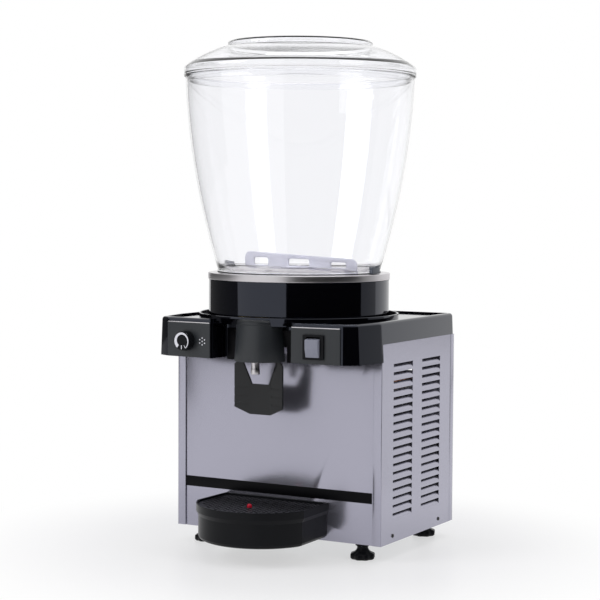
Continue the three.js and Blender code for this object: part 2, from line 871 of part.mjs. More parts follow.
function controlHoles() {
  const reach = coverWall + overrun;
  const bush = extrudeY(circle(knobFromCentre, controlHeight, bushRadius + seatGap), -reach, reach);
  const body = extrudeY(switchOutline(seatGap), -reach, reach);
  return [onPanel(bush, -1), onPanel(body, 1)];
}

function controlPlate(side) {
  const length = Math.hypot(panelOuterHalf - panelInnerHalf, panelInnerDepth - panelOuterDepth);
  const half = length / 2 - plateInset;
  const hole = side < 0 ? circle(knobFromCentre, controlHeight, bushRadius + seatGap) : switchOutline(seatGap);
  return extrudeY(rectangle(-half, seatGap, half, coverFrontHeight - plateLedge), -plateThickness - seatGap, -seatGap, [hole]);
}

function thermostat() {
  const back = coverWall + seatGap;
  const low = controlHeight - thermostatHeight / 2;
  const body = extrudeY(roundedRectangle(knobFromCentre - thermostatWidth / 2, low,
    knobFromCentre + thermostatWidth / 2, low + thermostatHeight, coverWall), back, back + thermostatDepth);
  const bush = extrudeY(circle(knobFromCentre, controlHeight, bushRadius), -plateThickness, back + coverWall);
  const bore = extrudeY(circle(knobFromCentre, controlHeight, knobShaftRadius + seatGap, smallRoundCount),
    -plateThickness - overrun, knobShaftDepth + overrun);
  return joined([body, bush]).subtract(bore);
}

function knob() {
  const face = plateThickness + seatGap;
  const turn = new THREE.Matrix4().makeRotationX(Math.PI / 2);
  const profile = [[0, face + seatGap], [knobRadius, face + seatGap], [knobRadius, face + knobDepth - footEdge],
    [knobTipRadius, face + knobDepth], [0, face + knobDepth]];
  const cap = new THREE.LatheGeometry(profile.map(([r, h]) => new THREE.Vector2(r, h)), roundCount);
  const body = solidOf(cap.rotateX(Math.PI / 2).applyMatrix4(turn).translate(knobFromCentre, 0, controlHeight));
  const shaft = extrudeY(circle(knobFromCentre, controlHeight, knobShaftRadius, smallRoundCount),
    -face - overrun, knobShaftDepth);
  return joined([body, shaft]);
}

function switchHousing() {
  const face = -plateThickness - seatGap;
  const [x, z] = [switchFromCentre, controlHeight];
  const bezel = extrudeY(roundedRectangle(x - bezelWidth / 2, z - bezelHeight / 2, x + bezelWidth / 2,
    z + bezelHeight / 2, bezelDepth / 2), face - bezelDepth, face - seatGap);
  const body = extrudeY(switchOutline(0), face - bezelDepth, switchDepth);
  const well = extrudeY(switchOutline(-switchWall), face - bezelDepth - overrun, switchDepth - coverWall);
  return joined([bezel, body]).subtract(well);
}

// The rocker's two faces meet at its middle. At rest its lower half is pressed in.
function rocker() {
  const half = rockerHeight / 2 - seatGap;
  const lean = Math.tan(THREE.MathUtils.degToRad(rockerDegrees)) * half;
  const front = -plateThickness - seatGap - bezelDepth - rockerProud + lean;
  const view = [[front, half], [front - lean, 0], [front, -half], [0, -half], [rockerBack, 0], [0, half]];
  const width = switchWidth / 2 - switchWall - seatGap;
  const body = extrudeX(view, -width, width);
  return body.translate([0, -rockerPivotDepth, 0]).rotate([rockerDegrees, 0, 0])
    .translate([switchFromCentre, rockerPivotDepth, controlHeight]);
}

// Tap

// The plate behind the tap: an arch that leaves room for the lever, with two lugs for its pin.
function tapHousing() {
  const back = -bayDepth - seatGap;
  const front = back - tapHousingThickness;
  const [foot, arch, top] = [-tapHousingDrop, leverRoomRise, tapHousingTop].map((rise) => coverFront + rise);
  const half = [[leverRoomHalf, arch], [leverRoomHalf, foot], [tapHousingHalf, foot], [tapHousingHalf, top]];
  const spigotHole = extrudeY(circle(0, spigotZ, spigotRadius + seatGap, smallRoundCount), front - overrun, back + overrun);
  const plate = extrudeY([...half, ...mirrored(half)], front, back);
  const near = leverHeadHalf + runGap;
  const tip = -leverSetout - leverPivotRadius;
  const lugView = [[tip, pivotZ - lugHeight / 2], [front + overrun / 2, pivotZ - lugHeight / 2],
    [front + overrun / 2, pivotZ + lugHeight / 2], [tip, pivotZ + lugHeight / 2]];
  const lugs = [-near - lugThickness, near].map((x) => extrudeX(lugView, x, x + lugThickness));
  const bore = extrudeX(circle(-leverSetout, pivotZ, leverPinRadius + seatGap / 2, smallRoundCount),
    -tapHousingHalf, tapHousingHalf);
  return joined([plate, ...lugs]).subtract(joined([bore, spigotHole]));
}

// Half-round outlines that swell downwards, closed by the flat back.
function tapCoverLoop(radius, z, back = -bayDepth - seatGap - tapHousingThickness - seatGap) {
  return atHeight(arc(0, back, radius, halfTurn, fullTurn, tapCoverCount), z);
}

function tapCover() {
  const bottom = coverFront - tapCoverBottomDrop;
  const top = bottom + tapCoverHeight;
  const slope = (tapCoverBottomRadius - tapCoverTopRadius) / tapCoverHeight;
  const capRadius = tapCoverTopRadius + slope * tapCoverCap;
  const outer = loft([tapCoverLoop(tapCoverBottomRadius, bottom), tapCoverLoop(capRadius, top - tapCoverCap),
    tapCoverLoop(tapCoverTopRadius, top - tapCoverCapInset), tapCoverLoop(tapCoverTopRadius - tapCoverCapInset, top)]);
  const back = -bayDepth - seatGap - tapHousingThickness + overrun;
  const hollow = loft([tapCoverLoop(tapCoverBottomRadius - tapCoverWall, bottom - overrun, back),
    tapCoverLoop(capRadius - tapCoverWall, top - tapCoverCap, back),
    tapCoverLoop(tapCoverTopRadius - tapCoverCapInset - tapCoverWall, top - tapCoverWall, back)]);
  return outer.subtract(hollow);
}

function tapBody() {
  const y = -nozzleSetout;
  const at = (height) => coverFront + height;
  const barrel = rod(0, y, barrelRadius, at(barrelBottom), at(barrelTop));
  const nozzle = rod(0, y, nozzleRadius, at(-nozzleDrop), at(barrelBottom));
  const spigot = extrudeY(circle(0, spigotZ, spigotRadius, smallRoundCount), y, -bayDepth + coverWall + overrun);
  const bores = [
    rod(0, y, nozzleBore, at(-nozzleDrop - overrun), at(barrelBottom + overrun), smallRoundCount),
    rod(0, y, chamberRadius, at(barrelBottom + overrun), at(seatLevel), smallRoundCount),
    rod(0, y, seatBore, at(seatLevel - overrun), at(seatLevel + seatThickness + overrun), smallRoundCount),
    rod(0, y, chamberRadius, at(seatLevel + seatThickness), at(seatLevel + seatThickness + upperChamber), smallRoundCount),
    rod(0, y, stemRadius + seatGap, at(seatLevel), at(barrelTop + overrun), smallRoundCount),
    extrudeY(circle(0, spigotZ, spigotBore, smallRoundCount), y, overrun),
  ];
  return joined([barrel, nozzle, spigot]).subtract(joined(bores));
}

// The plunger hangs by its spring: pushed down, its disc leaves the seat and lets the drink out.
function plungerParts() {
  const y = -nozzleSetout;
  const seat = coverFront + seatLevel;
  const sealTop = seat - seatGap;
  const discTop = sealTop - sealThickness - seatGap;
  const headTop = coverFront + barrelTop + springHeight + plungerHead;
  const disc = rod(0, y, plungerDiscRadius, discTop - plungerDisc, discTop, smallRoundCount);
  const stem = rod(0, y, stemRadius, discTop - plungerDisc, headTop, smallRoundCount);
  const head = rod(0, y, plungerDiscRadius, headTop - plungerHead, headTop, smallRoundCount);
  const seal = rod(0, y, plungerDiscRadius, sealTop - sealThickness, sealTop, smallRoundCount)
    .subtract(rod(0, y, stemRadius + seatGap, seat - chamberRadius, seat, smallRoundCount));
  return { plunger: joined([disc, stem, head]), seal };
}

function tapSpring() {
  const bottom = coverFront + barrelTop + seatGap + springWire;
  const top = coverFront + barrelTop + springHeight - seatGap - springWire;
  const points = [];
  const total = springTurnCount * springStepCount;
  for (let i = 0; i <= total; i++) {
    const angle = (i / springStepCount) * 2 * Math.PI;
    points.push([springRadius * Math.cos(angle), -nozzleSetout + springRadius * Math.sin(angle),
      bottom + ((top - bottom) * i) / total]);
  }
  return tube(points, springWire / 2, springSideCount, total);
}

// The pipe from the spigot back and up to the steel plate's outlet.
function outletPipe() {
  const start = [0, -bayDepth + coverWall + overrun + seatGap, spigotZ];
  const end = [0, -pipeSetout, plateTop - plateFloor - seatGap];
  return pipe([start, [0, -pipeSetout, spigotZ], end], spigotRadius, pipeBend, smallRoundCount);
}

function lever() {
  const y = -leverSetout;
  const at = (height) => coverFront + height;
  const pivot = at(leverPivotRise);
  const slope = leverDish / (leverHalf - leverCentreHalf);
  const face = (x, back) => y + leverDish - Math.max(0, Math.abs(x) - leverCentreHalf) * slope + back;
  const stations = [-leverHalf, -leverCentreHalf, leverCentreHalf, leverHalf];
  const strip = [...stations.map((x) => [x, face(x, -leverThickness)]),
    ...stations.toReversed().map((x) => [x, face(x, 0)])];
  const dished = extrudeZ(strip, at(-leverBottom), at(leverNeckRise) + leverPivotRadius);
  const half = [[leverCentreHalf, at(-leverBottom)], [leverHalf, at(-leverBottom + leverChamfer)],
    [leverHalf, at(-leverShoulder)], [leverHeadHalf, at(leverNeckRise)], [leverHeadHalf, pivot]];
  const outline = extrudeY([...half, ...mirrored(half)], y - leverHalf, y + leverHalf);
  const opening = [[leverWindowBottomHalf, at(-leverWindowBottom)], [leverWindowTopHalf, at(-leverWindowShoulder)],
    [leverWindowHeadHalf, at(leverNeckRise)], [leverWindowHeadHalf, at(leverWindowTop)]];
  const window = extrudeY([...opening, ...mirrored(opening)], y - leverHalf, y + leverHalf);
  const neck = block(-leverHeadHalf, y, at(leverNeckRise) - overrun, leverHeadHalf, y + leverThickness, pivot);
  const barrel = extrudeX(circle(y, pivot, leverPivotRadius, roundCount / 2), -leverHeadHalf, leverHeadHalf);
  const bore = extrudeX(circle(y, pivot, leverPinRadius + seatGap / 2, smallRoundCount), -leverHalf, leverHalf);
  const nose = extrudeX(circle(-nozzleSetout, fingerNoseZ, fingerNose, smallRoundCount), -fingerHalf, fingerHalf);
  const arm = block(-fingerHalf, -nozzleSetout, fingerNoseZ, fingerHalf, y, fingerNoseZ + fingerNose);
  const grooves = [];
  for (let i = 0; i < leverRibCount; i++) {
    const z = at(-leverRibBottom) + i * leverRibPitch;
    for (const side of [-1, 1]) {
      const [low, high] = side > 0 ? [leverCentreHalf + leverGroove, leverHalf] : [-leverHalf, -leverCentreHalf - leverGroove];
      const cut = extrudeZ([...stations.map((x) => [x, face(x, -leverThickness - overrun)]),
        ...stations.toReversed().map((x) => [x, face(x, -leverThickness + leverGrooveDepth)])], z, z + leverGroove);
      grooves.push(cut.intersect(block(low, y - leverHalf, z, high, y + leverHalf, z + leverGroove)));
    }
  }
  const plate = joined([dished, neck]).intersect(outline).subtract(joined([window, ...grooves]));
  return joined([plate, barrel, nose, arm]).subtract(bore);
}

function leverPin() {
  const end = leverHeadHalf + runGap + lugThickness + pinEnd;
  return extrudeX(circle(-leverSetout, pivotZ, leverPinRadius, smallRoundCount), -end, end);
}

// Drum, steel plate, bowl and lid

function drum() {
  const bottom = coverFloorTop + seatGap;
  const shoulder = drumTop - plateSkirt - seatGap;
  const top = plateTop - plateFloor - seatGap;
  const inner = drumRadius - drumWall;
  const neck = plateRadius - plateSheet - seatGap;
  const profile = [[inner, bottom], [drumRadius, bottom], [drumRadius, shoulder], [neck, shoulder], [neck, top], [inner, top],
    [inner, bottom]];
  const notch = block(-drumNotchHalf, -drumRadius, bottom - overrun, drumNotchHalf, 0, coverTop + drumNotch);
  return turned(profile, bowlSideCount, 0, bowlSetback).subtract(notch);
}

// The chilled plate: a flat floor with its edge turned down over the drum.
function steelPlate() {
  const top = plateTop;
  const skirt = top - plateSkirt;
  const inner = plateRadius - plateSheet;
  const profile = [[0, top - plateFloor], [inner, top - plateFloor], [inner, skirt], [plateRadius, skirt],
    [plateRadius, top - plateSheet], [inner, top], [0, top]];
  const outlet = rod(0, -pipeSetout, spigotBore, top - plateFloor - overrun, top + overrun, smallRoundCount);
  return turned(profile, bowlSideCount, 0, bowlSetback).subtract(outlet);
}

function insulation() {
  const bottom = coverFloorTop + seatGap;
  const top = plateTop - insulationTopGap;
  const outer = drumRadius - drumWall - seatGap;
  const profile = [[insulationInner, bottom], [outer, bottom], [outer, top], [insulationInner, top], [insulationInner, bottom]];
  const pipe = rod(0, -pipeSetout, spigotRadius + runGap, bottom - overrun, top + overrun, smallRoundCount);
  const notch = block(-drumNotchHalf, -drumRadius, bottom - overrun, drumNotchHalf, -pipeSetout - pipeBend, coverTop + drumNotch);
  const tubes = rod(suctionX, suctionY, tubeRadius + runGap, bottom - overrun, top + overrun, smallRoundCount);
  return turned(profile, bowlSideCount, 0, bowlSetback).subtract(joined([pipe, notch, tubes]));
}

// A flat spiral of tube under the steel plate.
function evaporatorCoil() {
  const z = plateTop - plateFloor - seatGap - coilTube;
  const points = [];
  for (let i = 0; i <= coilStepCount; i++) {
    const turns = (coilTurnShare * i) / coilStepCount;
    const angle = -Math.PI / 2 + turns * 2 * Math.PI;
    const radius = coilStart + coilPitch * turns;
    points.push([radius * Math.cos(angle), bowlSetback + radius * Math.sin(angle), z]);
  }
  return tube(points, coilTube, tubeSideCount, coilStepCount);
}

function bowlGasket() {
  const profile = [[gasketInner, plateTop + seatGap], [footOuter, plateTop + seatGap],
    [footOuter, bowlBottom - seatGap], [gasketInner, bowlBottom - seatGap], [gasketInner, plateTop + seatGap]];
  return turned(profile, bowlSideCount, 0, bowlSetback);
}

// The bowl's outer radius swells fast from the foot and eases to upright at the rim.
function bowlRadiusAt(share) {
  const swell = bowlStraightShare * share + (1 - bowlStraightShare) * (1 - (1 - share) ** bowlCurvePower);
  return footOuter - footEdge + (bowlTopRadius - footOuter + footEdge) * swell;
}

function bowl() {
  const wall = (share, thickness) => [bowlRadiusAt(share) - thickness, bowlBottom + bowlHeight * share];
  const shares = Array.from({ length: bowlStepCount }, (_, i) => (i + 1) / bowlStepCount);
  const lipTop = bowlBottom + footLip;
  const outer = [[footOuter, bowlBottom], [footOuter, lipTop - footEdge], ...shares.map((share) => wall(share, 0))];
  const lipShare = footLip / bowlHeight;
  const inner = [...shares.map((share) => wall(share, bowlWall)).reverse(), wall(lipShare, bowlWall),
    [footOuter - footLipWidth, lipTop], [footOuter - footLipWidth, bowlBottom], [footOuter, bowlBottom]];
  return turned([...outer, ...inner], bowlSideCount, 0, bowlSetback);
}

// The lid: a band over the bowl's rim, a ring that rests on it, a shallow cone and a raised disc.
function lid() {
  const sit = bowlTop + seatGap;
  const bandBottom = sit - lidOverlap;
  const bandTop = bandBottom + lidBand;
  const skirtOuter = bowlTopRadius - bowlWall - lidGap;
  const bandInner = bowlTopRadius + lidGap;
  const coneTop = bandTop + lidRise;
  const discTop = coneTop + lidDiscRise;
  const coneStart = lidRadius - lidShoulder;
  const middle = [(coneStart + lidDiscRadius) / 2, (bandTop + coneTop) / 2 + lidRise * lidCrownShare];
  const outside = [[0, discTop], [lidDiscRadius - footEdge, discTop], [lidDiscRadius, discTop - footEdge],
    [lidDiscRadius, coneTop], middle, [coneStart, bandTop], [lidRadius, bandTop - lidBandRound], [lidRadius, bandBottom]];
  const inside = [[bandInner, bandBottom], [bandInner, sit], [skirtOuter, sit], [skirtOuter, sit - lidSkirt],
    [skirtOuter - lidWall, sit - lidSkirt], [skirtOuter - lidWall, sit + lidWall], [lidRadius - lidWall, sit + lidWall],
    [lidRadius - lidWall, bandTop - lidBandRound], [coneStart - lidWall / 2, bandTop - lidWall],
    [middle[0], middle[1] - lidWall], [lidDiscRadius - lidWall, coneTop - lidWall / 2],
    [lidDiscRadius - lidWall, discTop - lidWall], [0, discTop - lidWall]];
  return turned([...outside, ...inside], bowlSideCount, 0, bowlSetback);
}

// A clip on the steel rim that grips the bowl's foot from the side.
function bowlCatch(side) {
  const z = plateTop + seatGap;
  const near = bowlRadiusAt((z + catchHeight - bowlBottom) / bowlHeight) + runGap;
  const body = block(near, bowlSetback - catchLength / 2, z, near + catchWidth, bowlSetback + catchLength / 2, z + catchHeight);
  const tabTop = z + catchHeight + catchTabThickness;
  const tab = extrudeY([[near + catchWidth / 2, z + catchHeight - catchTabThickness],
    [near + catchWidth + catchTab, tabTop - catchTabThickness / 2], [near + catchWidth + catchTab, tabTop],
    [near + catchWidth / 2, z + catchHeight]], bowlSetback - catchTabLength / 2, bowlSetback + catchTabLength / 2);
  const piece = joined([body, tab]);
  return side > 0 ? piece : piece.mirror([1, 0, 0]);
}

// Paddle and drive

function paddle() {
  const bottom = plateTop + paddleGap;
  const [tall, low] = [bottom + paddleTallHeight, bottom + paddleLowHeight];
  const c = paddleCorner;
  const outline = [[-paddleHalf, bottom], [paddleHalf, bottom], ...arc(paddleHalf - c, low - c, c, 0, quarterTurn, paddleCornerCount),
    ...arc(-paddleHalf + c, tall - c, c, quarterTurn, halfTurn, paddleCornerCount)];
  const windowBottom = bottom + paddleWindowBottom;
  const windows = [[-paddleWindowOuter, -paddleWindowInner, paddleWindowHeight],
    [-paddleWindowMiddle, paddleWindowMiddle, paddleWindowHeight],
    [paddleWindowInner, paddleWindowOuter, paddleLowWindowHeight]].map(([x0, x1, height]) =>
    roundedRectangle(x0, windowBottom, x1, windowBottom + height, paddleWindowCorner, 2));
  const plate = extrudeY(outline, -paddleThickness / 2, paddleThickness / 2, windows);
  const hub = rod(0, 0, hubRadius, bottom, bottom + hubHeight);
  const base = rod(0, 0, hubBaseRadius, bottom, bottom + hubBase);
  const bore = rod(0, 0, centrePinRadius + runGap / 2, bottom - overrun, bottom + hubHeight + overrun, smallRoundCount);
  const flangeRoom = rod(0, 0, centrePinFlangeRadius + runGap, bottom - overrun, bottom + footEdge + runGap, smallRoundCount);
  const pocket = ringOf(magnetInner - seatGap, magnetOuter + seatGap, bottom - overrun, bottom + magnetThickness + seatGap);
  const solid = joined([plate, hub, base]).subtract(joined([bore, pocket, flangeRoom]));
  return solid.rotate([0, 0, paddleDegrees]).translate([0, bowlSetback, 0]);
}

function ringOf(inner, outer, z0, z1) {
  return extrudeZ(circle(0, 0, outer), z0, z1, [circle(0, 0, inner)]);
}

function paddleMagnet() {
  const bottom = plateTop + paddleGap;
  return ringOf(magnetInner, magnetOuter, bottom, bottom + magnetThickness)
    .rotate([0, 0, paddleDegrees]).translate([0, bowlSetback, 0]);
}

function centrePin() {
  const z = plateTop + seatGap;
  return turned([[0, z], [centrePinFlangeRadius, z], [centrePinFlangeRadius, z + footEdge], [centrePinRadius, z + footEdge],
    [centrePinRadius, z + centrePinHeight - footEdge], [centrePinRadius - footEdge, z + centrePinHeight], [0, z + centrePinHeight]],
  smallRoundCount, 0, bowlSetback);
}

const driveTop = plateTop - plateFloor - driveGap;
const motorTop = driveTop - driveThickness - motorShaftLength;

function driveMagnet() {
  const disc = rod(0, bowlSetback, driveRadius, driveTop - driveThickness, driveTop);
  const shaft = rod(0, bowlSetback, motorShaft, motorTop - motorShaftLength, driveTop, smallRoundCount);
  return joined([disc, shaft]);
}

function stirrerMotor() {
  const body = rod(0, bowlSetback, motorRadius, motorTop - motorCollar - motorHeight, motorTop - motorCollar);
  const collar = rod(0, bowlSetback, motorShaft + motorCollar, motorTop - motorCollar, motorTop, smallRoundCount);
  const bore = rod(0, bowlSetback, motorShaft + seatGap, motorTop - motorShaftLength - overrun, motorTop + overrun, smallRoundCount);
  return joined([body, collar]).subtract(bore);
}

function motorBracket() {
  const top = motorTop - motorCollar - motorHeight - seatGap;
  const bottom = deckTop + seatGap;
  const [x, t, f] = [bracketHalf, bracketSheet, bracketFoot];
  const half = [[x - t, top - t], [x - t, bottom], [x + f, bottom], [x + f, bottom + t], [x, bottom + t], [x, top]];
  return extrudeY([...half, ...mirrored(half)], bowlSetback - bracketLength / 2, bowlSetback + bracketLength / 2);
}

// Refrigeration

const fanY = (frontFace + cabinetDepth) / 2;
const fanZ = cabinetBottom + panThickness + condenserLevel + condenserHeight / 2;
const shroudInner = condenserX - seatGap - shroudDepth;

function compressor() {
  const floor = cabinetBottom + panThickness + seatGap;
  const plateZ = floor + compressorMount;
  const base = plateZ + compressorPlate;
  const seam = base + compressorHeight / 2;
  const [r, dome, seamR] = [compressorRadius, compressorDome, compressorRadius + compressorSeamOut];
  const top = base + compressorHeight;
  const profile = [[0, base], [r - dome, base], [r, base + dome], [r, seam], [seamR, seam],
    [seamR, seam + compressorSeam], [r, seam + compressorSeam], [r, top - dome],
    [r - dome / 3, top - dome / 3], [r - dome, top], [0, top]];
  const shell = turned(profile).scale([1, compressorStretchShare, 1]).translate([compressorX, compressorY, 0]);
  const [mx, my, mr] = [compressorMountX, compressorMountY, compressorMountRadius];
  const plate = extrudeZ(roundedRectangle(compressorX - mx - mr, compressorY - my - mr,
    compressorX + mx + mr, compressorY + my + mr, mr), plateZ, base + compressorPlate);
  const mounts = [[-1, -1], [1, -1], [-1, 1], [1, 1]].map(([sx, sy]) =>
    rod(compressorX + sx * mx, compressorY + sy * my, mr - footEdge, floor, plateZ + compressorPlate, smallRoundCount));
  const cavity = rod(dischargeX, dischargeY, tubeRadius + runGap, top - dome - seatGap, top + overrun, smallRoundCount);
  return joined([shell, plate, ...mounts, relayCover()]).subtract(cavity);
}

// The cover over the compressor's start relay, on the side of its shell.
function relayCover() {
  const x = compressorX + compressorRadius - overrun;
  const z = cabinetBottom + relayLevel;
  return extrudeZ(roundedRectangle(x, compressorY - relayLength / 2, x + relayWidth, compressorY + relayLength / 2,
    coverWall), z, z + relayHeight);
}

function condenser() {
  const z0 = cabinetBottom + panThickness + condenserLevel;
  const y0 = fanY - condenserLength / 2;
  const [x0, x1, y1, z1] = [condenserX, condenserX + condenserWidth, y0 + condenserLength, z0 + condenserHeight];
  const fins = [];
  for (let i = 1; i <= condenserFinCount; i++) {
    const y = y0 + (condenserLength * i) / (condenserFinCount + 1);
    fins.push(block(x0, y, z0 + condenserEnd, x1, y + condenserFin, z1 - condenserEnd));
  }
  const frame = block(x0, y0, z0, x1, y1, z1).subtract(block(x0 - overrun, y0 + condenserEnd, z0 + condenserEnd,
    x1 + overrun, y1 - condenserEnd, z1 - condenserEnd));
  const tubes = Array.from({ length: condenserTubeCount }, (_, i) => {
    const z = z0 + (condenserHeight * (i + 1 / 2)) / condenserTubeCount;
    return extrudeY(circle((x0 + x1) / 2, z, condenserTube, condenserTubeSideCount), y0 + condenserEnd / 2, y1 - condenserEnd / 2);
  });
  const legs = [y0 + condenserLength * condenserLegShare, y1 - condenserLength * condenserLegShare].map((y) =>
    block(x0, y - condenserLegHalf, cabinetBottom + panThickness + seatGap,
      x1, y + condenserLegHalf, z0 + condenserEnd));
  return joined([frame, ...fins, ...tubes, ...legs]);
}

// The shroud: a shallow box with a round mouth, on the condenser's inner face.
function fanShroud() {
  const half = condenserLength / 2;
  const [y0, y1] = [fanY - half, fanY + half];
  const [z0, z1] = [fanZ - condenserHeight / 2, fanZ + condenserHeight / 2];
  const [inner, outer] = [shroudInner, condenserX - seatGap];
  const face = extrudeX(rectangle(y0, z0, y1, z1), inner, inner + shroudWall, [circle(fanY, fanZ, fanOpening)]);
  const wall = extrudeX(rectangle(y0, z0, y1, z1), inner, outer,
    [rectangle(y0 + shroudWall, z0 + shroudWall, y1 - shroudWall, z1 - shroudWall)]);
  return joined([face, wall]);
}

const fanFront = shroudInner - fanHubDepth / 2;

function fanBlade() {
  const hub = extrudeX(circle(fanY, fanZ, fanHubRadius, smallRoundCount), fanFront, fanFront + fanHubDepth);
  const blades = Array.from({ length: fanBladeCount }, (_, i) => {
    const [half, thin] = [fanBladeWidth / 2, fanBladeThickness / 2];
    const tip = extrudeZ([[-thin, -half], [thin, -half], [thin, half], [-thin, half]], fanHubRadius - overrun, fanRadius);
    return tip.rotate([0, 0, fanBladeDegrees]).rotate([(fullTurn * i) / fanBladeCount, 0, 0])
      .translate([fanFront + fanHubDepth / 2, fanY, fanZ]);
  });
  const sweep = extrudeX(circle(fanY, fanZ, fanRadius), fanFront - fanBladeWidth, fanFront + fanBladeWidth * 2);
  const bore = extrudeX(circle(fanY, fanZ, fanShaft + seatGap, smallRoundCount), fanFront - overrun, fanFront + fanHubDepth / 2);
  return joined([hub, joined(blades).intersect(sweep)]).subtract(bore);
}

// The motor hangs on two arms that reach behind the blades to the shroud's face.
function fanMotor() {
  const end = fanFront - runGap - overrun;
  const back = end - fanMotorLength;
  const body = extrudeX(circle(fanY, fanZ, fanMotorRadius), back, end);
  const shaft = extrudeX(circle(fanY, fanZ, fanShaft, smallRoundCount), end - overrun,
    fanFront + fanHubDepth / 2 - overrun);
  const reach = fanOpening + fanArm / 2;
  const across = extrudeX(rectangle(fanY - reach, fanZ - fanArm, fanY + reach, fanZ + fanArm),
    back - fanArmThickness, back + fanArmThickness);
  const straps = [fanY - reach, fanY + reach - fanArmThickness].map((y) =>
    block(back - fanArmThickness, y, fanZ - fanArm, shroudInner - seatGap, y + fanArmThickness, fanZ + fanArm));
  return joined([body, shaft, across, ...straps]);
}

// The drier lies along the top of the condenser's frame.
function filterDrier() {
  const [r, n, h, e] = [drierRadius, drierNeck, drierLength / 2, drierNeckLength];
  const profile = [[0, -h - e], [n, -h - e], [n, -h], [r, e / 2 - h], [r, h - e / 2], [n, h], [n, h + e], [0, h + e]];
  const top = fanZ + condenserHeight / 2;
  return turned(profile, smallRoundCount).rotate([quarterTurn, 0, 0])
    .translate([condenserX + condenserWidth / 2, fanY, top + seatGap + r]);
}

const dischargeX = compressorX + compressorRadius / 3;
const dischargeY = compressorY - compressorRadius / 3;
const suctionX = -bracketHalf - bracketFoot - tubeRadius - coilTube;
const suctionY = bowlSetback + bracketLength;

const compressorTop = cabinetBottom + panThickness + seatGap + compressorMount + compressorPlate + compressorHeight;

// Hot gas from the compressor's top to the condenser's upper tube.
function dischargeTube() {
  const high = compressorTop + compressorDome;
  const endX = condenserX + condenserWidth / 2;
  const endY = fanY - condenserLength / 2 - tubeRadius - seatGap;
  return pipe([[dischargeX, dischargeY, compressorTop - compressorDome], [dischargeX, dischargeY, high],
    [dischargeX, endY, high], [endX, endY, high], [endX, endY, fanZ]], tubeRadius, tubeBend);
}

// Cold gas from the coil under the plate down to the compressor.
function suctionTube() {
  const top = plateTop - plateFloor - seatGap - coilTube * 2 - seatGap;
  const low = compressorTop + compressorDome;
  return pipe([[suctionX, suctionY, top], [suctionX, suctionY, low], [compressorX, compressorY, low],
    [compressorX, compressorY, compressorTop + seatGap]], tubeRadius, tubeBend);
}

// Drip tray

// The tray in plan: a straight back, sides that open slightly, and a round front.
function trayPlan(shrink, back = trayBack) {
  const radius = trayArcRadius - shrink;
  const frontX = trayFrontHalf - shrink;
  const start = THREE.MathUtils.radToDeg(Math.acos(frontX / radius));
  const front = arc(0, -trayArcCentre, radius, halfTurn + start, fullTurn - start, trayArcCount);
  return [[-trayBackHalf + shrink, back], ...front, [trayBackHalf - shrink, back]];
}

function dripTray() {
  const bottom = cabinetBottom + trayBottom;
  const top = bottom + trayHeight;
  const seat = top - grilleSeat;
  const back = trayBack;
  const bevelled = loft([atHeight(trayPlan(trayStep + trayFloorBevel), bottom), atHeight(trayPlan(trayStep), bottom + trayFloorBevel),
    atHeight(trayPlan(trayStep), top - trayBand), atHeight(trayPlan(0), top - trayBand + trayStep), atHeight(trayPlan(0), top)]);
  const hollow = extrudeZ(trayPlan(trayStep + trayWall + trayFloorBevel / 2, back - trayWall), bottom + trayWall, seat + overrun);
  const recess = extrudeZ(trayPlan(trayWall, back - trayWall + grilleGap), seat, top + overrun);
  const hooks = [-hookHalf, hookHalf].map((centre) => trayHook(centre, back));
  return joined([bevelled.subtract(joined([hollow, recess])), ...hooks]);
}

// A hook through the front panel: a shank, and a lip that hangs behind the sheet.
function trayHook(centre, back) {
  const z = cabinetBottom + hookLevel;
  const behind = frontFace + seatGap;
  const end = behind + hookThickness;
  return extrudeX([[back - overrun / 2, z], [behind, z], [behind, z - hookDrop], [end, z - hookDrop],
    [end, z + hookShank], [back - overrun / 2, z + hookShank]], centre - hookWidth / 2, centre + hookWidth / 2);
}

function dripGrille() {
  const top = cabinetBottom + trayBottom + trayHeight;
  const seat = top - grilleSeat + seatGap;
  const back = trayBack - trayWall;
  const outline = trayPlan(trayWall + grilleGap, back);
  const limit = trayPlan(trayWall + grilleGap + grilleMargin, back - grilleMargin);
  const slots = [];
  const step = grilleSlotLength + grilleBar;
  for (let y = back - grilleMargin - grilleSlot; y > -trayArcCentre - trayArcRadius; y -= grillePitch) {
    const y1 = y + grilleSlot;
    const reach = Math.min(halfSpan(limit, y), halfSpan(limit, y1));
    for (let x = -step * grilleSlotCount - grilleSlotLength / 2; x < trayBackHalf; x += step) {
      const [x0, x1] = [Math.max(x, -reach), Math.min(x + grilleSlotLength, reach)];
      const nearFloat = y < -floatSetout + floatRadius + floatHoleGap + grilleBar
        && y1 > -floatSetout - floatRadius - floatHoleGap - grilleBar;
      if (x1 - x0 < grilleSlot * 2) continue;
      if (nearFloat && x0 < floatRadius + grilleBar && x1 > -floatRadius - grilleBar) continue;
      slots.push(rectangle(x0, y, x1, y1));
    }
  }
  const hole = circle(0, -floatSetout, floatRadius + floatHoleGap, smallRoundCount);
  return extrudeZ(outline, seat, seat + grilleThickness, [hole, ...slots]);
}

// Half the width of a mirrored outline at one depth, or less than nothing outside it.
function halfSpan(points, y) {
  let span = -Infinity;
  for (let i = 0; i < points.length; i++) {
    const [a, b] = [points[i], points[(i + 1) % points.length]];
    if ((a[1] - y) * (b[1] - y) > 0 || a[1] === b[1]) continue;
    span = Math.max(span, a[0] + ((b[0] - a[0]) * (y - a[1])) / (b[1] - a[1]));
  }
  return span;
}

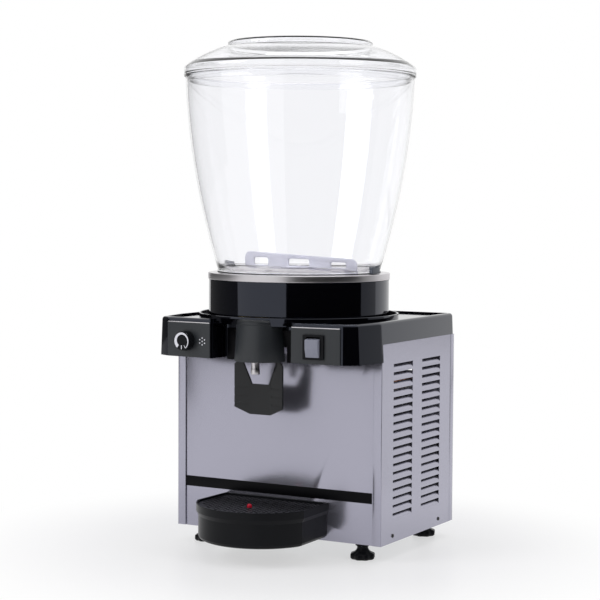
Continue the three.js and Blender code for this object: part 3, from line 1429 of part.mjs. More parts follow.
// The float: a body that the drips lift, and a red button that rises through the grille.
function trayFloat() {
  const top = cabinetBottom + trayBottom + trayHeight - grilleSeat + seatGap + grilleThickness;
  const bottom = cabinetBottom + trayBottom + trayWall + seatGap;
  const button = top + floatProud;
  return turned([[0, bottom], [floatBodyRadius - footEdge, bottom], [floatBodyRadius, bottom + footEdge],
    [floatBodyRadius, bottom + floatBody], [floatRadius, bottom + floatBody + footEdge], [floatRadius, button - footEdge],
    [floatRadius / 2, button], [0, button]], smallRoundCount, 0, -floatSetout);
}

add("base_pan", basePan(), darkSteel);
for (const [side, word] of [[-1, "left"], [1, "right"]]) {
  add(`front_post_${word}`, frontPost(side), steel);
  add(`side_panel_${word}`, sidePanel(side), steel);
}
add("top_deck", topDeck(), darkSteel);
add("front_panel", frontPanel(), steel);
add("front_band", frontBand(), gloss);
add("rear_panel", rearPanel(), steel);
add("cable_gland", cableGland(), black);
for (const [side, word] of [[-1, "left"], [1, "right"]]) {
  screwPlaces().forEach(([y, z], i) => add(`side_screw_${word}_${i ? "rear" : "front"}`, sideScrew(side, y, z), black));
}
footPlaces().forEach((place, i) => {
  const word = `${i < 2 ? "front" : "rear"}_${i % 2 ? "right" : "left"}`;
  add(`foot_${word}`, levellingFoot(place), black);
});
add("top_cover", topCover(), gloss);
const leftPanel = panelGroup(-1);
const rightPanel = panelGroup(1);
add("control_plate_left", controlPlate(-1), satin, leftPanel);
add("control_plate_right", controlPlate(1), satin, rightPanel);
add("thermostat", thermostat(), black, leftPanel);
add("thermostat_knob", knob(), black, leftPanel);
add("switch_housing", switchHousing(), black, rightPanel);
add("switch_rocker", rocker(), white, rightPanel);
add("tap_housing", tapHousing(), gloss);
add("tap_cover", tapCover(), satin);
add("tap_body", tapBody(), steel);
const { plunger, seal } = plungerParts();
add("tap_plunger", plunger, white);
add("plunger_seal", seal, rubber);
add("tap_spring", tapSpring(), darkSteel);
add("outlet_pipe", outletPipe(), steel);
add("tap_lever", lever(), black);
add("lever_pin", leverPin(), darkSteel);
add("drum", drum(), gloss);
add("insulation", insulation(), foam);
add("steel_plate", steelPlate(), steel);
add("evaporator_coil", evaporatorCoil(), copper);
add("bowl_gasket", bowlGasket(), rubber);
add("bowl", bowl(), clear);
add("lid", lid(), clear);
add("bowl_catch_left", bowlCatch(-1), clipGrey);
add("bowl_catch_right", bowlCatch(1), clipGrey);
add("centre_pin", centrePin(), steel);
add("paddle", paddle(), paleGrey);
add("paddle_magnet", paddleMagnet(), darkSteel);
add("drive_magnet", driveMagnet(), darkSteel);
add("stirrer_motor", stirrerMotor(), darkSteel);
add("motor_bracket", motorBracket(), steel);
add("compressor", compressor(), black);
add("condenser", condenser(), darkSteel);
add("fan_shroud", fanShroud(), darkSteel);
add("fan_blade", fanBlade(), darkSteel);
add("fan_motor", fanMotor(), black);
add("filter_drier", filterDrier(), copper);
add("discharge_tube", dischargeTube(), copper);
add("suction_tube", suctionTube(), copper);
add("drip_tray", dripTray(), black);
add("drip_grille", dripGrille(), black);
add("tray_float", trayFloat(), red);

// The origin is at the middle of the ground area that the whole object covers.
const foremost = -trayArcCentre - trayArcRadius;
const rearmost = cabinetDepth + glandLength;
dispenser.position.y = -(foremost + rearmost) / 2;

const model = new THREE.Group();
model.add(dispenser);
export default model;
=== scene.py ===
"""The looks of a cold drink dispenser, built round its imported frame.

A clear bowl and lid stand on a steel plate and a black drum, over a steel cabinet with louvred sides,
two control plates, a push-lever tap and a drip tray. Lengths are in metres, and the front faces -Y.
"""

import json
import math

import bmesh
import bpy
from bpy.props import FloatProperty, FloatVectorProperty, IntProperty, PointerProperty
from mathutils import Matrix, Vector


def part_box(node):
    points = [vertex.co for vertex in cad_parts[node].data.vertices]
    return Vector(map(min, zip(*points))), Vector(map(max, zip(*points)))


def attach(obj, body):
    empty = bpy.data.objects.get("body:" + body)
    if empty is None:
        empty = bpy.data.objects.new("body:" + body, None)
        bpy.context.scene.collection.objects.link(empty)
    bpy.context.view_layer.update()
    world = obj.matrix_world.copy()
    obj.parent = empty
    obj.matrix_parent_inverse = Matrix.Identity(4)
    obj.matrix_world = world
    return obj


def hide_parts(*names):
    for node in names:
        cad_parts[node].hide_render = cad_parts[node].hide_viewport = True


bl_info = {
    "name": "Cold drink dispenser",
    "version": (1, 0, 0),
    "blender": (4, 5, 0),
    "location": "View3D > Sidebar > Dispenser",
    "description": "Builds the visible pieces and finishes of a cold drink dispenser",
    "category": "Add Mesh",
}

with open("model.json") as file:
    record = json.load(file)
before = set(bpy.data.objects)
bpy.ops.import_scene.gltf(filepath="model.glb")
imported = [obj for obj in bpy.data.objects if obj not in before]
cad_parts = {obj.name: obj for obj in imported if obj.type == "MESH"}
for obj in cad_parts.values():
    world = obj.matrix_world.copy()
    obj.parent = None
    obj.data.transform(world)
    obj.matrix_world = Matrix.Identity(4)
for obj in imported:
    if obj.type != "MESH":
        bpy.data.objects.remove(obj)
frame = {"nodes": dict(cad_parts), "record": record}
NODES = frame["nodes"]

# Limits of the mesh tools
WELD = 1e-6
TURN = 2 * math.pi
FLAT = math.radians(1)
SHARP = math.radians(28)
CREASE = math.radians(40)
GAP = 0.0003
THIN = 0.0001


def low(node):
    """The lowest corner of a node of the frame."""
    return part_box(node)[0]


def high(node):
    """The highest corner of a node of the frame."""
    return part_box(node)[1]


def middle(node):
    """The middle of a node of the frame."""
    return (low(node) + high(node)) / 2


# Places that several pieces share
BOWL_Y = middle("bowl").y
FRONT_Y = low("front_post_left").y
AXIS = (0.0, BOWL_Y)
COVER_FOOT = low("top_cover").z

# The bay for the tap, and the control faces on both sides of it
BAY_HALF = 0.062
BAY_DEPTH = 0.041
BAY_FLARE = 0.004
PLATE_LAP = 0.002
PANEL_REACH = 0.075
PANEL_FALL = 0.005
PANEL_END = 0.144
PANEL_START = BAY_HALF + BAY_FLARE
PANEL_TURN = math.atan2(PANEL_FALL, PANEL_END - PANEL_START)
KNOB_X, SWITCH_X, CONTROL_Z = -0.003, -0.0025, 0.024

# The gap that the gutter and the drum leave for the tap
GUTTER_NOTCH = 0.052
GUTTER_NOTCH_END = 0.064
DRUM_NOTCH = 0.029

# How thick the side panels are, and the gaps round the grille and behind the tray
SHEET = 0.0012
GRILLE_ROOM = 0.0006
TRAY_GAP = 0.0004


# Sizes and colours that a user would change


def length(name, default, description):
    """A length in metres."""
    return FloatProperty(name=name, description=description, default=default, min=0.0, unit="LENGTH",
                         precision=4)


def colour(name, default, description):
    """A linear colour."""
    return FloatVectorProperty(name=name, description=description, default=default, min=0.0, max=1.0, size=3,
                               subtype="COLOR")


def rotation(name, degrees, description):
    """An angle, given in degrees."""
    return FloatProperty(name=name, description=description, default=math.radians(degrees), unit="ROTATION")


def power(name, default, description):
    """The power of a lamp in watts."""
    return FloatProperty(name=name, description=description, default=default, min=0.0, unit="POWER")


def share(name, default, description):
    """A share from 0 to 1."""
    return FloatProperty(name=name, description=description, default=default, min=0.0, max=1.0,
                         subtype="FACTOR")


class BowlSettings(bpy.types.PropertyGroup):
    """Sizes of the clear bowl and its lid."""

    wall: length("Wall", 0.003, "Thickness of the bowl's wall")
    foot: length("Foot", 0.1215, "Outer radius of the ring that the bowl stands on")
    foot_width: length("Foot width", 0.0058, "Width of the ring that the bowl stands on")
    foot_height: length("Foot height", 0.003, "Height of the ring that the bowl stands on")
    lip: length("Lip", 0.0015, "Step from the foot to the wall")
    straight_share: share("Straight share", 0.18, "How much of the swell is spread evenly over the height")
    curve_power: FloatProperty(name="Curve power", description="How fast the bowl swells near its foot",
                               default=1.95, min=1.0, max=4.0)
    lid_band: length("Lid band", 0.017, "Height of the band round the lid")
    lid_wall: length("Lid wall", 0.0025, "Thickness of the lid")
    lid_disc: length("Lid disc", 0.107, "Radius of the lid's raised disc")
    lid_disc_rise: length("Lid disc rise", 0.0066, "Height of the lid's raised disc")
    blade_length: length("Blade length", 0.222, "Length of the paddle")
    blade_low: length("Blade low end", 0.021, "Height of the paddle's low end")
    blade_corner: length("Blade corner", 0.010, "Rounding of the paddle's upper corners")
    blade_thickness: length("Blade thickness", 0.003, "Thickness of the paddle")
    window_foot: length("Window foot", 0.0035, "From the paddle's lower edge to its windows")
    blade_turn: rotation("Blade turn", -12.4, "Turn of the paddle at rest")
    steps: IntProperty(name="Steps", description="Steps of a full turn", default=128, min=32, max=256)


class CoverSettings(bpy.types.PropertyGroup):
    """Sizes of the black top cover, the drum and the steel plate."""

    rim: length("Rim", 0.008, "Width of the cover's raised rim, with its rounded edge")
    recess: length("Recess", 0.0026, "Depth of the cover's recessed top")
    wall: length("Wall", 0.003, "Thickness of the cover")
    corner: length("Corner", 0.004, "Rounding of the upright front corners")
    opening: length("Opening", 0.102, "Radius of the round opening under the drum")
    rear_corner: length("Rear corner", 0.012, "Rounding of the upright rear corners")
    gutter_rise: length("Gutter rise", 0.005, "Height of the gutter wall above the rim")
    edge: length("Edge", 0.0058, "Rounding of the cover's upper edge")
    inner_edge: length("Inner edge", 0.0012, "Rounding of the rim's inner edge")
    draft: share("Draft", 0.045, "How much the sides lean in, as a share of the height")
    gutter: length("Gutter radius", 0.1485, "Outer radius of the round gutter wall")
    gutter_wall: length("Gutter wall", 0.0025, "Thickness of the round gutter wall")
    plate_edge: length("Plate edge", 0.0018, "Rounding of the steel plate's edge")


class CabinetSettings(bpy.types.PropertyGroup):
    """Sizes of the steel cabinet."""

    louvre_rows: IntProperty(name="Louvre rows", description="Rows of louvres in a side panel", default=19,
                             min=1)
    louvre_pitch: length("Louvre pitch", 0.012, "Height from one louvre to the next")
    louvre_length: length("Louvre length", 0.063, "Length of a louvre")
    louvre_opening: length("Louvre opening", 0.0029, "Height of the open slot of a louvre")
    louvre_height: length("Louvre height", 0.0085, "Height of a louvre with its pressed lip")
    louvre_dip: length("Louvre dip", 0.0042, "Depth to which a louvre's lip is pressed in")
    column_pitch: length("Column pitch", 0.0945, "Distance between the two columns of louvres")
    first_row: length("First row", 0.030, "From the panel's top edge to the first row")


class ControlSettings(bpy.types.PropertyGroup):
    """Sizes of the knob, its marks and the switch."""

    knob_edge: length("Knob edge", 0.0012, "Rounding of the knob's rim")
    arc_radius: length("Arc radius", 0.0126, "Outer radius of the white arc on the knob")
    arc_thick: length("Arc thick end", 0.0052, "Width of the arc at its thick end")
    arc_thin: length("Arc thin end", 0.0010, "Width of the arc at its thin end")
    dot: length("Dot", 0.00098, "Radius of a dot of the cooling sign")
    dot_ring: length("Dot ring", 0.0049, "Radius of the ring of dots")


class TapSettings(bpy.types.PropertyGroup):
    """Sizes of the tap's cover and lever."""

    cover_top: length("Cover top radius", 0.0355, "Radius of the tap cover near its top")
    cover_cap: length("Cover cap", 0.007, "Height of the tap cover's cap")
    cover_bevel: length("Cover bevel", 0.0035, "Bevel of the tap cover's cap")
    cover_wall: length("Cover wall", 0.0025, "Thickness of the tap cover")
    lever_edge: length("Lever edge", 0.0007, "Rounding of the lever's edges")


class TraySettings(bpy.types.PropertyGroup):
    """Sizes of the drip tray and its grille."""

    wall: length("Wall", 0.0025, "Thickness of the tray's wall")
    band: length("Band", 0.017, "Height of the wider band round the tray")
    step: length("Step", 0.003, "How far the band stands out")
    arc_radius: length("Arc radius", 0.094, "Radius of the tray's round front")
    floor_edge: length("Floor edge", 0.005, "Rounding of the tray's lower edge")
    hole: length("Grille hole", 0.0046, "Width of a hole in the grille")
    hole_pitch: length("Grille pitch", 0.0078, "Distance from hole to hole in the grille")


class FinishSettings(bpy.types.PropertyGroup):
    """Colours of the finishes."""

    steel: colour("Brushed steel", (0.405, 0.400, 0.480), "Side and front panels")
    bright_steel: colour("Bright steel", (0.62, 0.60, 0.62), "Steel plate and fittings")
    zinc: colour("Zinc", (0.42, 0.44, 0.46), "Inner sheet parts")
    gloss_black: colour("Gloss black", (0.0016, 0.0016, 0.0026), "Cover, drum and band")
    satin_dark: colour("Satin dark", (0.022, 0.025, 0.029), "Control plates and tap cover")
    black_plastic: colour("Black plastic", (0.0055, 0.0060, 0.0075), "Lever, tray, knob and feet")
    black_paint: colour("Black paint", (0.012, 0.012, 0.013), "Screws and compressor")
    milky: colour("Milky white", (0.24, 0.25, 0.31), "Rocker")
    clear: colour("Clear plastic", (0.969, 0.971, 0.986), "Bowl and lid")
    pale: colour("Pale plastic", (0.51, 0.51, 0.585), "Paddle")
    grey: colour("Grey plastic", (0.075, 0.085, 0.105), "Bowl clips")
    red: colour("Red plastic", (0.50, 0.006, 0.028), "Float")
    rubber: colour("Rubber", (0.015, 0.015, 0.016), "Seals")
    copper: colour("Copper", (0.58, 0.27, 0.15), "Refrigerant tubes")
    foam: colour("Foam", (0.75, 0.70, 0.52), "Insulation")
    print_white: colour("Printed white", (0.80, 0.80, 0.86), "Marks on the knob and plate")
    print_pink: colour("Printed pink", (0.45, 0.16, 0.19), "Tick beside the knob")


class StageSettings(bpy.types.PropertyGroup):
    """The camera, lamps and floor."""

    azimuth: rotation("Azimuth", 29.366, "Turn of the camera round the object")
    elevation: rotation("Elevation", 3.368, "Height of the camera above the horizon")
    roll: rotation("Roll", 0.329, "Turn of the picture")
    lens: FloatProperty(name="Lens", description="Focal length on a 36 mm sensor", unit="CAMERA",
                        default=103.26)
    distance: length("Distance", 2.5288, "From the camera to the point that it looks at")
    aim: FloatVectorProperty(name="Aim", description="The point that the camera looks at", size=3,
                             subtype="TRANSLATION", default=(0.01907, -0.02397, 0.36899))
    key_power: power("Key power", 30.0, "Power of the large lamp")
    fill_power: power("Fill power", 10.0, "Power of the side lamp")
    top_power: power("Top power", 14.0, "Power of the lamp overhead")
    room: share("Room", 0.42, "Brightness of the room round the object")
    floor: colour("Floor", (0.86, 0.86, 0.89), "Colour of the floor")
    fade_start: length("Fade start", 0.26, "Distance at which the floor starts to fade to white")
    fade_end: length("Fade end", 0.56, "Distance at which the floor is white")


SETTINGS = {
    "bowl": BowlSettings,
    "cover": CoverSettings,
    "cabinet": CabinetSettings,
    "controls": ControlSettings,
    "tap": TapSettings,
    "tray": TraySettings,
    "finish": FinishSettings,
    "stage": StageSettings,
}


def settings(group):
    """One of the scene's groups of sizes and colours."""
    return getattr(bpy.context.scene, "dispenser_" + group)


# Node groups that several materials share


def shared_group(name, inputs, outputs):
    """A new shader node group with named sockets, and its input and output nodes."""
    group = bpy.data.node_groups.new(name, "ShaderNodeTree")
    for label, kind, value in inputs:
        socket = group.interface.new_socket(name=label, in_out="INPUT", socket_type=kind)
        socket.default_value = value
    for label, kind in outputs:
        group.interface.new_socket(name=label, in_out="OUTPUT", socket_type=kind)
    return group, group.nodes.new("NodeGroupInput"), group.nodes.new("NodeGroupOutput")


def noise(tree, vector, scale, detail=3.0, roughness=0.55):
    """A noise texture over a vector."""
    node = tree.nodes.new("ShaderNodeTexNoise")
    node.inputs["Scale"].default_value = scale
    node.inputs["Detail"].default_value = detail
    node.inputs["Roughness"].default_value = roughness
    tree.links.new(vector, node.inputs["Vector"])
    return node.outputs["Fac"]


def spread(tree, value, lowest, highest):
    """A 0 to 1 value spread from lowest to highest, each a number or a socket."""
    node = tree.nodes.new("ShaderNodeMapRange")
    tree.links.new(value, node.inputs["Value"])
    for label, end in (("To Min", lowest), ("To Max", highest)):
        if isinstance(end, bpy.types.NodeSocket):
            tree.links.new(end, node.inputs[label])
        else:
            node.inputs[label].default_value = end
    return node.outputs["Result"]


def math_node(tree, operation, *values):
    """A sum, product or the like of numbers and sockets."""
    node = tree.nodes.new("ShaderNodeMath")
    node.operation = operation
    for socket, value in zip(node.inputs, values):
        if isinstance(value, bpy.types.NodeSocket):
            tree.links.new(value, socket)
        else:
            socket.default_value = value
    return node.outputs["Value"]


def tint(tree, colour_socket, value):
    """A colour made lighter or darker by a value."""
    node = tree.nodes.new("ShaderNodeMix")
    node.data_type = "RGBA"
    node.blend_type = "MULTIPLY"
    node.inputs["Factor"].default_value = 1.0
    tree.links.new(colour_socket, node.inputs["A"])
    tree.links.new(value, node.inputs["B"])
    return node.outputs["Result"]


def bump(tree, height, strength, distance):
    """A normal from a height."""
    node = tree.nodes.new("ShaderNodeBump")
    node.inputs["Distance"].default_value = distance
    tree.links.new(height, node.inputs["Height"])
    if isinstance(strength, bpy.types.NodeSocket):
        tree.links.new(strength, node.inputs["Strength"])
    else:
        node.inputs["Strength"].default_value = strength
    return node.outputs["Normal"]


def object_place(tree):
    """The object's own coordinates."""
    return tree.nodes.new("ShaderNodeTexCoord").outputs["Object"]


def brushed_group():
    """Fine parallel scratches, with soft cloudy differences of shine."""
    group, entry, result = shared_group(
        "brushed_sheet",
        [("Colour", "NodeSocketColor", (0.6, 0.6, 0.6, 1.0)), ("Roughness", "NodeSocketFloat", 0.25),
         ("Depth", "NodeSocketFloat", 0.15)],
        [("Colour", "NodeSocketColor"), ("Roughness", "NodeSocketFloat"), ("Normal", "NodeSocketVector")])
    place = object_place(group)
    lines = group.nodes.new("ShaderNodeMapping")
    lines.inputs["Scale"].default_value = (1.0, 1.0, 60.0)
    group.links.new(place, lines.inputs["Vector"])
    scratch = noise(group, lines.outputs["Vector"], 70.0, 5.0, 0.7)
    cloud = noise(group, place, 6.0, 2.0)
    shade = math_node(group, "ADD", spread(group, scratch, 0.93, 1.05), spread(group, cloud, -0.02, 0.02))
    group.links.new(tint(group, entry.outputs["Colour"], shade), result.inputs["Colour"])
    shine = math_node(group, "ADD", spread(group, scratch, -0.05, 0.08), spread(group, cloud, -0.03, 0.03))
    group.links.new(math_node(group, "ADD", entry.outputs["Roughness"], shine), result.inputs["Roughness"])
    group.links.new(bump(group, scratch, entry.outputs["Depth"], 0.0002), result.inputs["Normal"])
    return group


def moulded_group():
    """The fine grain of a moulding, and the faint marks of handling."""
    group, entry, result = shared_group(
        "moulded_surface",
        [("Colour", "NodeSocketColor", (0.02, 0.02, 0.02, 1.0)), ("Roughness", "NodeSocketFloat", 0.4),
         ("Grain", "NodeSocketFloat", 0.1), ("Handling", "NodeSocketFloat", 0.1)],
        [("Colour", "NodeSocketColor"), ("Roughness", "NodeSocketFloat"), ("Normal", "NodeSocketVector")])
    place = object_place(group)
    grain = noise(group, place, 900.0, 2.0)
    marks = noise(group, place, 22.0, 4.0, 0.62)
    shade = spread(group, marks, 0.90, 1.10)
    group.links.new(tint(group, entry.outputs["Colour"], shade), result.inputs["Colour"])
    worn = math_node(group, "MULTIPLY", spread(group, marks, -0.5, 0.5), entry.outputs["Handling"])
    group.links.new(math_node(group, "ADD", entry.outputs["Roughness"], worn), result.inputs["Roughness"])
    group.links.new(bump(group, grain, entry.outputs["Grain"], 0.0003), result.inputs["Normal"])
    return group


# Materials


def new_material(name, **sockets):
    """A material with a Principled shader, with plain values set on its own sockets."""
    material = bpy.data.materials.new(name + "_finish")
    material.use_nodes = True
    shader = material.node_tree.nodes["Principled BSDF"]
    for label, value in sockets.items():
        socket = shader.inputs[label.replace("_", " ")]
        socket.default_value = (*value, 1.0) if socket.type == "RGBA" else value
    return material, shader


def finish(name):
    """A finish by its name; the frame's own materials have the names of their slots."""
    return bpy.data.materials[name + "_finish"]


def place_group(material, shader, group, colour_value, **values):
    """Puts a shared group into a material and feeds the shader from it."""
    tree = material.node_tree
    node = tree.nodes.new("ShaderNodeGroup")
    node.node_tree = group
    node.inputs["Colour"].default_value = (*colour_value, 1.0)
    for label, value in values.items():
        node.inputs[label].default_value = value
    tree.links.new(node.outputs["Colour"], shader.inputs["Base Color"])
    tree.links.new(node.outputs["Roughness"], shader.inputs["Roughness"])
    tree.links.new(node.outputs["Normal"], shader.inputs["Normal"])
    return material


def brushed_metal(name, group, colour_value, roughness, depth, metallic=1.0):
    """Sheet metal with fine parallel scratches."""
    material, shader = new_material(name, Metallic=metallic)
    return place_group(material, shader, group, colour_value, Roughness=roughness, Depth=depth)


def moulding(name, group, colour_value, roughness, grain, handling, **sockets):
    """Moulded plastic, paint or rubber."""
    material, shader = new_material(name, **sockets)
    return place_group(material, shader, group, colour_value, Roughness=roughness, Grain=grain,
                       Handling=handling)


def clear_plastic(name, colour_value):
    """Clear plastic that lets the light through to what stands behind it."""
    material, shader = new_material(name, Base_Color=colour_value, Roughness=0.015, IOR=1.47,
                                    Transmission_Weight=1.0)
    tree = material.node_tree
    ripple = noise(tree, object_place(tree), 9.0, 2.0)
    tree.links.new(bump(tree, ripple, 0.05, 0.002), shader.inputs["Normal"])
    light = tree.nodes.new("ShaderNodeLightPath")
    thin = tree.nodes.new("ShaderNodeBsdfTransparent")
    thin.inputs["Color"].default_value = (*colour_value, 1.0)
    mix = tree.nodes.new("ShaderNodeMixShader")
    tree.links.new(light.outputs["Is Shadow Ray"], mix.inputs["Fac"])
    tree.links.new(shader.outputs["BSDF"], mix.inputs[1])
    tree.links.new(thin.outputs["BSDF"], mix.inputs[2])
    tree.links.new(mix.outputs["Shader"], tree.nodes["Material Output"].inputs["Surface"])
    return material


def make_materials():
    """Every finish, by the name of its material."""
    tone = settings("finish")
    brushed = brushed_group()
    moulded = moulded_group()
    # Metals: name, group, colour, roughness and depth of the scratches
    brushed_metal("brushed_steel", brushed, tone.steel, 0.20, 0.08, 0.84)
    brushed_metal("bright_steel", brushed, tone.bright_steel, 0.20, 0.05)
    brushed_metal("satin_steel", brushed, tone.bright_steel, 0.34, 0.03)
    brushed_metal("zinc_sheet", brushed, tone.zinc, 0.42, 0.05)
    brushed_metal("copper_tube", brushed, tone.copper, 0.32, 0.03)
    # Mouldings: name, group, colour, roughness, grain and marks of handling
    moulding("gloss_black", moulded, tone.gloss_black, 0.06, 0.0, 0.04, Specular_IOR_Level=0.6,
             Specular_Tint=(0.74, 0.80, 1.0))
    moulding("satin_dark", moulded, tone.satin_dark, 0.42, 0.12, 0.08, Specular_IOR_Level=0.45)
    moulding("black_plastic", moulded, tone.black_plastic, 0.30, 0.04, 0.10, Specular_IOR_Level=0.12)
    moulding("lever_black", moulded, tone.black_plastic, 0.26, 0.03, 0.08, Specular_IOR_Level=0.34)
    moulding("deep_black", moulded, tone.gloss_black, 0.45, 0.02, 0.05, Specular_IOR_Level=0.10)
    moulding("smooth_black", moulded, tone.black_plastic, 0.34, 0.0, 0.08, Specular_IOR_Level=0.14)
    moulding("black_paint", moulded, tone.black_paint, 0.35, 0.10, 0.10)
    moulding("milky_white", moulded, tone.milky, 0.25, 0.03, 0.05, Subsurface_Weight=0.2,
             Subsurface_Radius=(0.004, 0.004, 0.004))
    moulding("pale_plastic", moulded, tone.pale, 0.38, 0.08, 0.08)
    moulding("grey_plastic", moulded, tone.grey, 0.40, 0.10, 0.08)
    moulding("red_plastic", moulded, tone.red, 0.22, 0.04, 0.05, Specular_IOR_Level=0.35)
    moulding("seal_rubber", moulded, tone.rubber, 0.62, 0.25, 0.10)
    moulding("rigid_foam", moulded, tone.foam, 0.85, 1.0, 0.05)
    moulding("printed_white", moulded, tone.print_white, 0.45, 0.02, 0.05)
    moulding("printed_pink", moulded, tone.print_pink, 0.45, 0.02, 0.05)
    clear_plastic("clear_plastic", tone.clear)


# The finish of each material slot of the frame, for the nodes that are kept as they are
SLOT_MATERIALS = {
    "brushed_panels": "brushed_steel",
    "galvanised_sheet": "zinc_sheet",
    "steel_fittings": "bright_steel",
    "gloss_black": "gloss_black",
    "satin_dark": "satin_dark",
    "black_plastic": "black_plastic",
    "black_steel": "black_paint",
    "white_plastic": "milky_white",
    "clear_plastic": "clear_plastic",
    "pale_plastic": "pale_plastic",
    "grey_plastic": "grey_plastic",
    "red_plastic": "red_plastic",
    "seal_rubber": "seal_rubber",
    "copper": "copper_tube",
    "foam": "rigid_foam",
}


def node_slots():
    """The material slot of each node of the frame."""
    return {part["node"]: part["material_slot"] for part in frame["record"]["subparts"]}


# Mesh tools


def once(parts):
    """Each part once and in order, so that every run makes the same mesh."""
    return list(dict.fromkeys(parts))


def newest(result, kind):
    """What an operator made, of one kind."""
    return [one for one in result["geom"] if isinstance(one, kind)]


def loop_of(bm, points):
    """A closed loop of edges through points."""
    verts = [bm.verts.new(point) for point in points]
    return [bm.edges.new((verts[i - 1], verts[i])) for i in range(len(verts))]


def line_of(bm, points):
    """An open line of edges through points."""
    verts = [bm.verts.new(point) for point in points]
    return [bm.edges.new(pair) for pair in zip(verts, verts[1:])]


def circle_of(bm, centre, radius, count):
    """A closed loop of edges round a centre, in a level plane."""
    made = bmesh.ops.create_circle(bm, cap_ends=False, radius=radius, segments=count,
                                   matrix=Matrix.Translation(centre))
    return once(edge for vert in made["verts"] for edge in vert.link_edges)


def filled(bm, edges, normal=(0, 0, 1)):
    """A flat face inside the outer loop and outside the inner ones."""
    made = bmesh.ops.triangle_fill(bm, use_beauty=True, use_dissolve=False, edges=edges, normal=normal)
    return newest(made, bmesh.types.BMFace)


def walled(bm, outlines, closed=True):
    """Walls from outline to outline, each with as many points; gives the first and the last edges."""
    verts = [bm.verts.new(point) for point in outlines[0]]
    pairs = list(zip(verts, verts[1:] + verts[:1]))
    ring = [bm.edges.new(pair) for pair in (pairs if closed else pairs[:-1])]
    first = list(ring)
    for points in outlines[1:]:
        made = bmesh.ops.extrude_edge_only(bm, edges=ring)
        fresh = set(newest(made, bmesh.types.BMVert))
        verts = [next(edge.other_vert(vert) for edge in vert.link_edges if edge.other_vert(vert) in fresh)
                 for vert in verts]
        for vert, point in zip(verts, points):
            vert.co = point
        ring = [edge for edge in newest(made, bmesh.types.BMEdge)
                if all(vert in fresh for vert in edge.verts)]
    return first, ring


def raised(bm, faces, way):
    """Faces carried along a way, with walls behind them."""
    region = list(faces) + once(edge for face in faces for edge in face.edges)
    made = bmesh.ops.extrude_face_region(bm, geom=region)
    bmesh.ops.translate(bm, vec=way, verts=newest(made, bmesh.types.BMVert))
    return newest(made, bmesh.types.BMFace)


def turned(bm, profile, centre, steps=None, start=0.0, sweep=TURN):
    """A closed or open profile of (radius, height) turned about an upright line."""
    x, y = centre
    steps = steps or settings("bowl").steps
    way = Vector((math.cos(start), math.sin(start), 0.0))
    points = [Vector((x, y, height)) + way * radius for radius, height in profile]
    full = abs(sweep - TURN) < WELD
    edges = loop_of(bm, points) if profile[0][0] > WELD or profile[-1][0] > WELD else line_of(bm, points)
    verts = once(vert for edge in edges for vert in edge.verts)
    parts = verts + edges
    if not full:
        parts.append(bm.faces.new([edge.verts[0] for edge in edges]))
    bmesh.ops.spin(bm, geom=parts, cent=(x, y, 0.0), axis=(0.0, 0.0, 1.0), dvec=(0.0, 0.0, 0.0), angle=sweep,
                   steps=max(1, round(steps * sweep / TURN)), use_merge=full, use_normal_flip=False,
                   use_duplicate=False)


def rounded(bm, edges, width, segments):
    """Edges with a round of a given width."""
    bmesh.ops.bevel(bm, geom=edges, offset=width, offset_type="OFFSET", segments=segments, profile=0.5,
                    affect="EDGES", clamp_overlap=True, material=-1)


def soften(bm, width, segments=2, angle=SHARP, keep=None):
    """Rounds the edges that are sharper than an angle."""
    bmesh.ops.remove_doubles(bm, verts=bm.verts, dist=WELD)
    bmesh.ops.recalc_face_normals(bm, faces=bm.faces)
    edges = [edge for edge in bm.edges if len(edge.link_faces) == 2 and edge.calc_face_angle(0.0) > angle
             and (keep is None or keep(edge))]
    rounded(bm, edges, width, segments)


def slice_at(bm, faces, place, way):
    """Cuts faces along a plane."""
    parts = once(part for face in faces for part in (face, *face.edges, *face.verts))
    bmesh.ops.bisect_plane(bm, geom=parts, dist=WELD, plane_co=place, plane_no=way)


def box_of(bm, matrix, size):
    """A box of a given size, in a frame of its own."""
    bmesh.ops.create_cube(bm, size=1.0, matrix=matrix @ Matrix.Diagonal((*size, 1.0)))


def copied(node):
    """A node's shape as a mesh of whole flat faces."""
    bm = bmesh.new()
    bm.from_mesh(NODES[node].data)
    bmesh.ops.remove_doubles(bm, verts=bm.verts, dist=WELD * 10)
    bmesh.ops.dissolve_limit(bm, angle_limit=FLAT, verts=bm.verts, edges=bm.edges)
    return bm


def piece(bm, name, material, body, replaced=(), crease=CREASE, solid=True):
    """A finished mesh as a piece that rides on a body of the frame."""
    bmesh.ops.remove_doubles(bm, verts=bm.verts, dist=WELD)
    if solid:
        bmesh.ops.recalc_face_normals(bm, faces=bm.faces)
    mesh = bpy.data.meshes.new(name)
    bm.to_mesh(mesh)
    bm.free()
    mesh.shade_smooth()
    mesh.set_sharp_from_angle(angle=crease)
    mesh.materials.append(finish(material))
    made = bpy.data.objects.new(name, mesh)
    bpy.context.scene.collection.objects.link(made)
    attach(made, body)
    if replaced:
        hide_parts(*replaced)
    return made


def thickened(made, thickness, crease):
    """Gives a sheet its thickness, and marks the sharp edges that this makes."""
    wall = made.modifiers.new("wall", "SOLIDIFY")
    wall.thickness = thickness
    wall.offset = -1.0
    bpy.context.view_layer.update()
    graph = bpy.context.evaluated_depsgraph_get()
    solid = bpy.data.meshes.new_from_object(made.evaluated_get(graph))
    made.modifiers.clear()
    made.data = solid
    solid.set_sharp_from_angle(angle=crease)


# Cabinet


def refine(node, name, material, width, segments=2, body="cabinet", angle=SHARP):
    """A node's own shape with rounded edges, in place of the node."""
    bm = copied(node)
    soften(bm, width, segments, angle)
    return piece(bm, name, material, body, [node])


